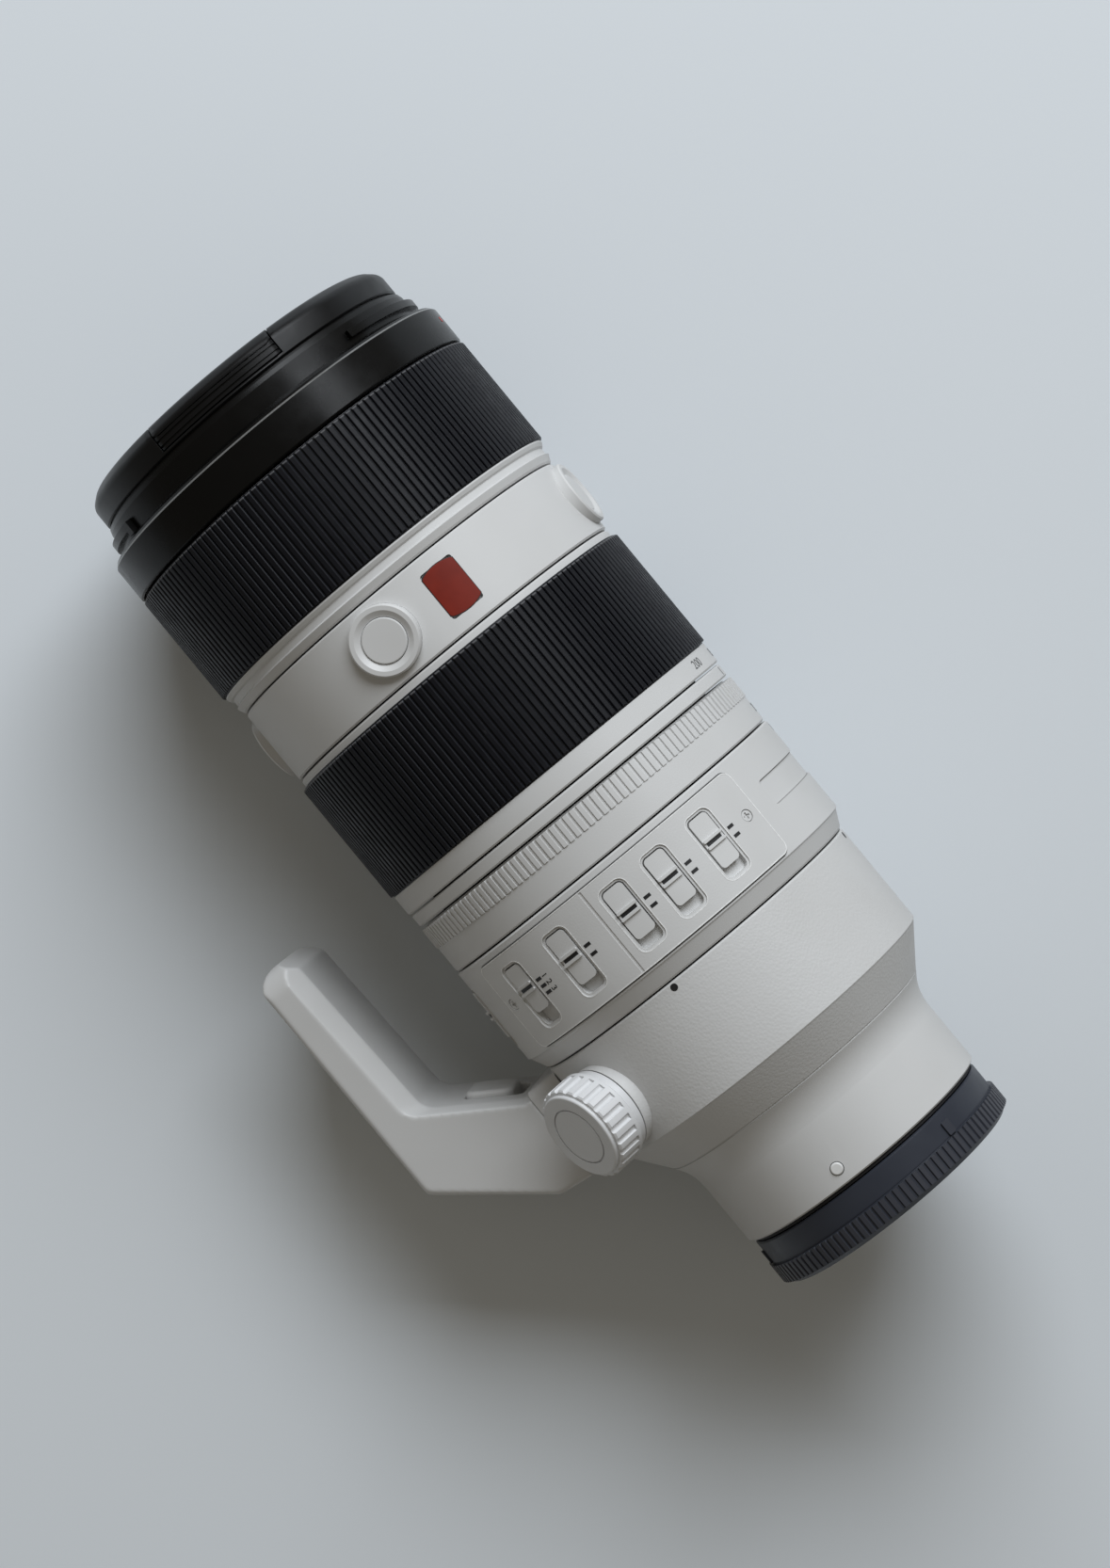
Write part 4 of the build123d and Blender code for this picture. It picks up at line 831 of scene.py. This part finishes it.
def plain_number(text, height, thickness=laid_height, height_share=0.72):
    """A plain number as a flat mesh, centred on its middle; a digit takes a share of its line."""
    curve = bpy.data.curves.new("number", "FONT")
    curve.body = text
    curve.size = height / height_share
    curve.extrude = thickness / 2
    curve.align_x = "CENTER"
    curve.align_y = "CENTER"
    mesh = baked(new_object("number", curve))
    for v in mesh.vertices:
        v.co.z += thickness / 2
    return mesh


def rounded_outline(width, height, corner, steps=10):
    """Points round a rectangle with rounded corners."""
    points = []
    for cx, cy, start in ((1, 1, 0), (-1, 1, 90), (-1, -1, 180), (1, -1, 270)):
        for i in range(steps + 1):
            a = math.radians(start + 90 * i / steps)
            points.append((cx * (width / 2 - corner) + corner * math.cos(a),
                           cy * (height / 2 - corner) + corner * math.sin(a)))
    return points


def outline_strip(width, height, corner, line, longest_edge=3 * MM, cuts=40):
    """Narrow closed strip round such an outline, cut so that it can follow a curved surface."""
    bm = bmesh.new()
    inner = rounded_outline(width, height, corner)
    outer = rounded_outline(width + 2 * line, height + 2 * line, corner + line)
    loops = []
    for outline, z in ((inner, 0), (outer, 0), (outer, laid_height), (inner, laid_height)):
        loops.append([bm.verts.new((x, y, z)) for x, y in outline])
    count = len(inner)
    for k in range(4):
        low, high = loops[k], loops[(k + 1) % 4]
        for i in range(count):
            j = (i + 1) % count
            bm.faces.new((low[i], low[j], high[j], high[i]))
    long_edges = [e for e in bm.edges if e.calc_length() > longest_edge]
    bmesh.ops.subdivide_edges(bm, edges=long_edges, cuts=cuts)
    bmesh.ops.recalc_face_normals(bm, faces=bm.faces)
    return as_mesh(bm, "strip")


# Switch panel: marks on the plate and a line on every slide

plate_radius = 42.8 * MM
plate_split = 15.0
switch_angles = {
    "focus_mode_slider": -23.2, "full_time_slider": -6.9, "focus_range_slider": 7.5,
    "stabiliser_slider": 28.9, "stabiliser_mode_slider": 48.4,
}
side_switch_angles = {"iris_lock_slider": 84.0, "click_slider": 124.0}
all_switch_angles = {**switch_angles, **side_switch_angles}
slot_middle = sum(span("focus_switch_plate")) / 2
tick_width, tick_height = 0.72 * MM, 1.6 * MM
two_way_gap, three_way_gap = 2.15 * MM, 1.65 * MM
tick_offset, number_offset = 4.75 * MM, 1.85 * MM
switch_number_height = 1.5 * MM
line_width, line_length = 0.75 * MM, 3.9 * MM

plate_marks = []
for name, angle in switch_angles.items():
    three_way = name == "stabiliser_mode_slider"
    beside = angle - math.degrees(tick_offset / plate_radius)
    above = beside - math.degrees(number_offset / plate_radius)
    plate = "mode_switch_plate" if angle > plate_split else "focus_switch_plate"
    places, gap = ((1, 0, -1), three_way_gap) if three_way else ((0.5, -0.5), two_way_gap)
    for number, share in enumerate(places, 1):
        x = slot_middle + share * gap
        plate_marks.append(lay_on(flat_bar(tick_width, tick_height), plate, x, beside, "along"))
        if three_way:
            digit = plain_number(str(number), switch_number_height)
            plate_marks.append(lay_on(digit, plate, x, above, "along"))
laid_piece("switch_ticks", plate_marks, "barrel", black_ink)

for name, angle in all_switch_angles.items():
    line = lay_on(flat_bar(line_width, line_length), name, sum(span(name)) / 2, angle, "along")
    laid_piece(name.replace("slider", "line"), [line], name, black_ink)


# Numbers, index marks, the red plate and dots

zoom_texts, zoom_travel = ("200", "135", "100", "70"), 65.0
zoom_number_height = 2.1 * MM
zoom_number_x = span("zoom_ring")[0] + 2.45 * MM
longest_at = top_angle + 15.0
number_marks = []
for i, text in enumerate(zoom_texts):
    angle = longest_at - zoom_travel * i / (len(zoom_texts) - 1)
    number_marks.append(lay_on(plain_number(text, zoom_number_height), "zoom_ring", zoom_number_x, angle))
laid_piece("zoom_numbers", number_marks, "zoom_ring", grey_ink)

index_width, zoom_index_length, stop_index_length = 0.4 * MM, 2.0 * MM, 1.8 * MM
zoom_index_x = sum(span("index_band")) / 2
zoom_index = lay_on(flat_bar(index_width, zoom_index_length), "index_band", zoom_index_x, top_angle)
laid_piece("zoom_index", [zoom_index], "barrel", grey_ink)

badge_low, badge_high = span("badge_plate")
badge_angle = -11.6
badge_bow = 0.85 * MM
badge_width, badge_height = badge_high - badge_low - 2 * badge_bow, 7.9 * MM
badge_proud = 0.09 * MM
badge_gap_width = 0.16 * MM
beside_badge = badge_low - 0.8 * MM


def on_band(mesh):
    """Laid on the band just beside the red plate's place, then moved along to that place."""
    lay_on(mesh, "upper_band", beside_badge, badge_angle, "along")
    return shifted(mesh, (badge_low + badge_high) / 2 - beside_badge)


badge_gap = on_band(bowed_plate(badge_width + 2 * badge_gap_width, badge_height + 2 * badge_gap_width,
                                laid_height, badge_bow))
laid_piece("badge_gap", [badge_gap], "barrel", black_ink)
badge = on_band(bowed_plate(badge_width, badge_height, badge_proud, badge_bow))
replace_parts(laid_piece("badge_form", [badge], "barrel", enamel), "badge_plate")

dot_low, dot_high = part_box("mount_dot")
dot_radius = (dot_high.x - dot_low.x) / 2
dot_x = sum(span("mount_dot")) / 2
dot_angle = math.degrees(math.atan2((dot_low.y + dot_high.y) / 2, (dot_low.z + dot_high.z) / 2))
dot_gap_width, beside_dot = 0.16 * MM, 1.8 * MM
dot_gap = lay_on(flat_disc(dot_radius + dot_gap_width), "rear_housing", dot_x + beside_dot, dot_angle)
laid_piece("mount_dot_gap", [shifted(dot_gap, -beside_dot)], "barrel", grey_ink)

collar_dot_radius = 0.8 * MM
collar_dot_x = span("collar_ring")[1] - 1.2 * MM
collar_dots = [lay_on(flat_disc(collar_dot_radius), "collar_ring", collar_dot_x, roll_angle + quarter * 90.0)
               for quarter in (-1, 0, 2)]
laid_piece("collar_dots", collar_dots, "collar", black_ink)

stop_texts, stop_travel = ("22", "16", "11", "8", "5.6", "4", "2.8"), 100.0
stop_number_height = 2.3 * MM
stop_x = span("aperture_ring")[0] + 3.3 * MM
stop_angle = top_angle - 6.0
stop_marks = [lay_on(plain_number(text, stop_number_height), "aperture_ring", stop_x,
                     stop_angle - stop_travel * i / len(stop_texts)) for i, text in enumerate(stop_texts)]
laid_piece("stop_numbers", stop_marks, "aperture_ring", grey_ink)
stop_index_x = span("main_housing")[1] - 1.8 * MM
stop_index = lay_on(flat_bar(index_width, stop_index_length), "main_housing", stop_index_x, stop_angle)
laid_piece("stop_index", [stop_index], "barrel", grey_ink)

hood_dot_radius, hood_dot_x, hood_dot_angle = 0.7 * MM, 191.5 * MM, top_angle - 1.0
hood_dot = lay_on(flat_disc(hood_dot_radius), "front_barrel", hood_dot_x, hood_dot_angle)
laid_piece("hood_dot", [hood_dot], "barrel", red_ink)


# Thin rings: a painted highlight along the front ring's edge and the filler of the seam behind the collar

def ring_piece(name, x0, x1, top, depth, body, material):
    """Ring with a rectangular section below its outer surface."""
    section = [(x0, top - depth), (x1, top - depth), (x1, top), (x0, top)]
    piece(name, lathe(name, section), body, material)


front_ring_length = 8.2 * MM
glint_length, glint_drop, glint_depth, glint_lip = 0.38 * MM, 0.3 * MM, 0.2 * MM, 0.02 * MM
glint_x0 = span("front_barrel")[0] + front_ring_length
glint_x1 = glint_x0 + glint_length
glint_top = reach("front_barrel")
glint_low = glint_top - glint_drop
# A thin ring, a little proud of the chamfer, that carries the painted highlight along the front ring's edge
piece("front_ring_glint", lathe("front_ring_glint", [
    (glint_x0, glint_top - glint_depth), (glint_x1, glint_low - glint_depth),
    (glint_x1 + glint_lip, glint_low + glint_lip), (glint_x0 + glint_lip, glint_top - merge_distance),
]), "barrel", glint)

seam_width, seam_play, seam_sunk, seam_depth = 0.4 * MM, 0.02 * MM, 0.08 * MM, 0.8 * MM
beside_seam, seam_angle = 0.05 * MM, -40.0
seam_x1 = span("collar_ring")[0]
seam_x0 = seam_x1 - seam_width
seam_top = min(ray_radius("collar_ring", seam_x1 + beside_seam, seam_angle),
               ray_radius("rear_housing", seam_x0 - beside_seam, seam_angle)) - seam_sunk
ring_piece("collar_seam", seam_x0 + seam_play, seam_x1 - seam_play, seam_top, seam_depth, "barrel", paint)


# Painted shadow along the seam round the switch panel, painted highlights on its rim and on the rims of the
# slots, and painted shade round the name recess

def turn_range(node):
    """Lowest and highest angle of a node about the axis, in degrees."""
    angles = [math.degrees(math.atan2(v.co.y, v.co.z)) for v in nodes[node].data.vertices]
    return min(angles), max(angles)


panel_low, panel_high = span("focus_switch_plate")
panel_from, panel_to = turn_range("focus_switch_plate")[0], turn_range("mode_switch_plate")[1]
panel_angle, panel_turn = (panel_from + panel_to) / 2, math.radians(panel_to - panel_from)
panel_width, panel_corner = panel_high - panel_low, 2.2 * MM
beside_panel, inside_panel, plate_angle = 0.9 * MM, 0.3 * MM, -20.0
body_level = ray_radius("main_housing", panel_high + beside_panel, panel_angle)
panel_level = ray_radius("focus_switch_plate", panel_high - inside_panel, plate_angle)
panel_seam_lift = 0.12 * MM
# Painted shadow: a dark strip just outside the panel's edge. Painted highlight: a bright strip just inside it
for name, level, inset, line, ink in (
        ("panel_seam_shadow", body_level + panel_seam_lift, 0.0, 0.26 * MM, seam_shadow),
        ("panel_rim_highlight", panel_level, 0.22 * MM, 0.2 * MM, rim_light)):
    strip = outline_strip(panel_width - 2 * inset, panel_turn * level - 2 * inset, panel_corner - inset, line)
    wrap(strip, slot_middle, level + laid_lift, panel_angle, "along")
    laid_piece(name, [strip], "barrel", ink)

slot_length, slot_width, slot_corner, slot_line = 15.7 * MM, 6.7 * MM, 1.9 * MM, 0.15 * MM
# Painted highlights: bright strips round the rims of the slots
slot_rim_highlights = []
for name, angle in all_switch_angles.items():
    level = panel_level if name in switch_angles else body_level
    rim = outline_strip(slot_length, slot_width, slot_corner, slot_line)
    slot_rim_highlights.append(wrap(rim, slot_middle, level + laid_lift, angle, "along"))
laid_piece("slot_rim_highlights", slot_rim_highlights, "barrel", rim_light)

recess_start, recess_end, recess_turn = 13.1 * MM, 19.2 * MM, math.radians(60.0)
recess_inset, recess_line, recess_corner = 0.22 * MM, 0.22 * MM, 1.0 * MM
recess_x0, recess_x1 = (span("main_housing")[0] + end for end in (recess_start, recess_end))
recess_middle = (recess_x0 + recess_x1) / 2
recess_level = ray_radius("main_housing", recess_middle, top_angle)
# Painted shade: a grey strip just inside the edge of the name recess
recess = outline_strip(recess_x1 - recess_x0 - 2 * recess_inset,
                       recess_turn * recess_level - 2 * recess_inset, recess_corner, recess_line)
laid_piece("recess_shade_line", [wrap(recess, recess_middle, recess_level + laid_lift, top_angle, "along")],
           "barrel", recess_shadow)


# Low fillers that make two kinds of groove shallower

groove_end_gap, groove_width, groove_height, groove_sunk = 0.3 * MM, 0.75 * MM, 1.0 * MM, 1.22 * MM
groove = flat_bar(panel_width - groove_end_gap, groove_width, groove_height)
laid_piece("panel_groove", [wrap(groove, slot_middle, panel_level - groove_sunk, plate_split, "along")],
           "barrel", panel)

knurl_length, knurl_drop, knurl_back_gap, knurl_front_gap = 5.4 * MM, 0.36 * MM, 0.05 * MM, 0.45 * MM
knurl_end, knurl_top = span("aperture_ring")[1], reach("aperture_ring")
ring_piece("knurl_floor", knurl_end - knurl_length + knurl_back_gap, knurl_end - knurl_front_gap,
           knurl_top - knurl_drop, 1.0 * MM, "aperture_ring", paint)


# Table, light and camera

table_colour = (0.80, 0.84, 0.875)
shade_colour = (0.42, 0.43, 0.43)
table_size = 6.0
table_gap = 0.02 * MM
table_level = cad_box[0].z - table_gap


def table_top():
    """Pale table. What the camera and the reflections see is paler than what lights the object."""
    f = Finish("pale table", shade_colour, roughness=0.85, specular=0.08)
    f.relief(f.noise(2.0 * MM, detail=2.0), depth=0.03 * MM, strength=0.15)
    path = f.tree.nodes.new("ShaderNodeLightPath")
    seen = path.outputs["Is Camera Ray"]
    for ray in ("Is Glossy Ray", "Is Transmission Ray"):
        seen = f.step("MAXIMUM", seen, path.outputs[ray])
    return f.tint(seen, table_colour, low=0.0, high=1.0).done()


bpy.ops.mesh.primitive_plane_add(size=table_size, location=(0.1, 0, table_level))
table = bpy.context.object
table.name = "table"
table.data.materials.append(table_top())

room_colour, room_strength = (1.0, 0.92, 0.78, 1.0), 0.16
world = bpy.data.worlds.new("room")
bpy.context.scene.world = world
world.use_nodes = True
sky = world.node_tree.nodes["Background"]
sky.inputs["Color"].default_value = room_colour
sky.inputs["Strength"].default_value = room_strength

centre = (cad_box[0] + cad_box[1]) / 2
window_side = Vector((0.68, -0.73, 0.0)).normalized()
window_distance, window_height = 1.22, 1.06
window = bpy.data.lights.new("window", "AREA")
window.shape = "RECTANGLE"
window.size, window.size_y = 1.25, 1.0
window.energy = 24.3
window.color = (0.915, 0.965, 1.02)
lamp = new_object("window", window)
lamp.location = centre + window_side * window_distance + Vector((0, 0, window_height))
lamp.rotation_euler = (centre - lamp.location).to_track_quat("-Z", "Y").to_euler()

photo_height, focal_pixels, sensor_width = 1666, 3846, 36.0
camera_place = Vector((0.1009, 0.0008, 0.769))
camera_data = bpy.data.cameras.new("camera")
camera_data.sensor_width = sensor_width
camera_data.lens = sensor_width * focal_pixels / photo_height
camera = new_object("camera", camera_data)
right = Vector((-0.6361, -0.7716, 0.0)).normalized()
up = Vector((0.7716, -0.6361, 0.0)).normalized()
turned = Matrix((right, up, right.cross(up))).transposed()
camera.matrix_world = Matrix.Translation(camera_place) @ turned.to_4x4()
bpy.context.scene.camera = camera
bpy.context.scene.view_settings.view_transform = "Standard"
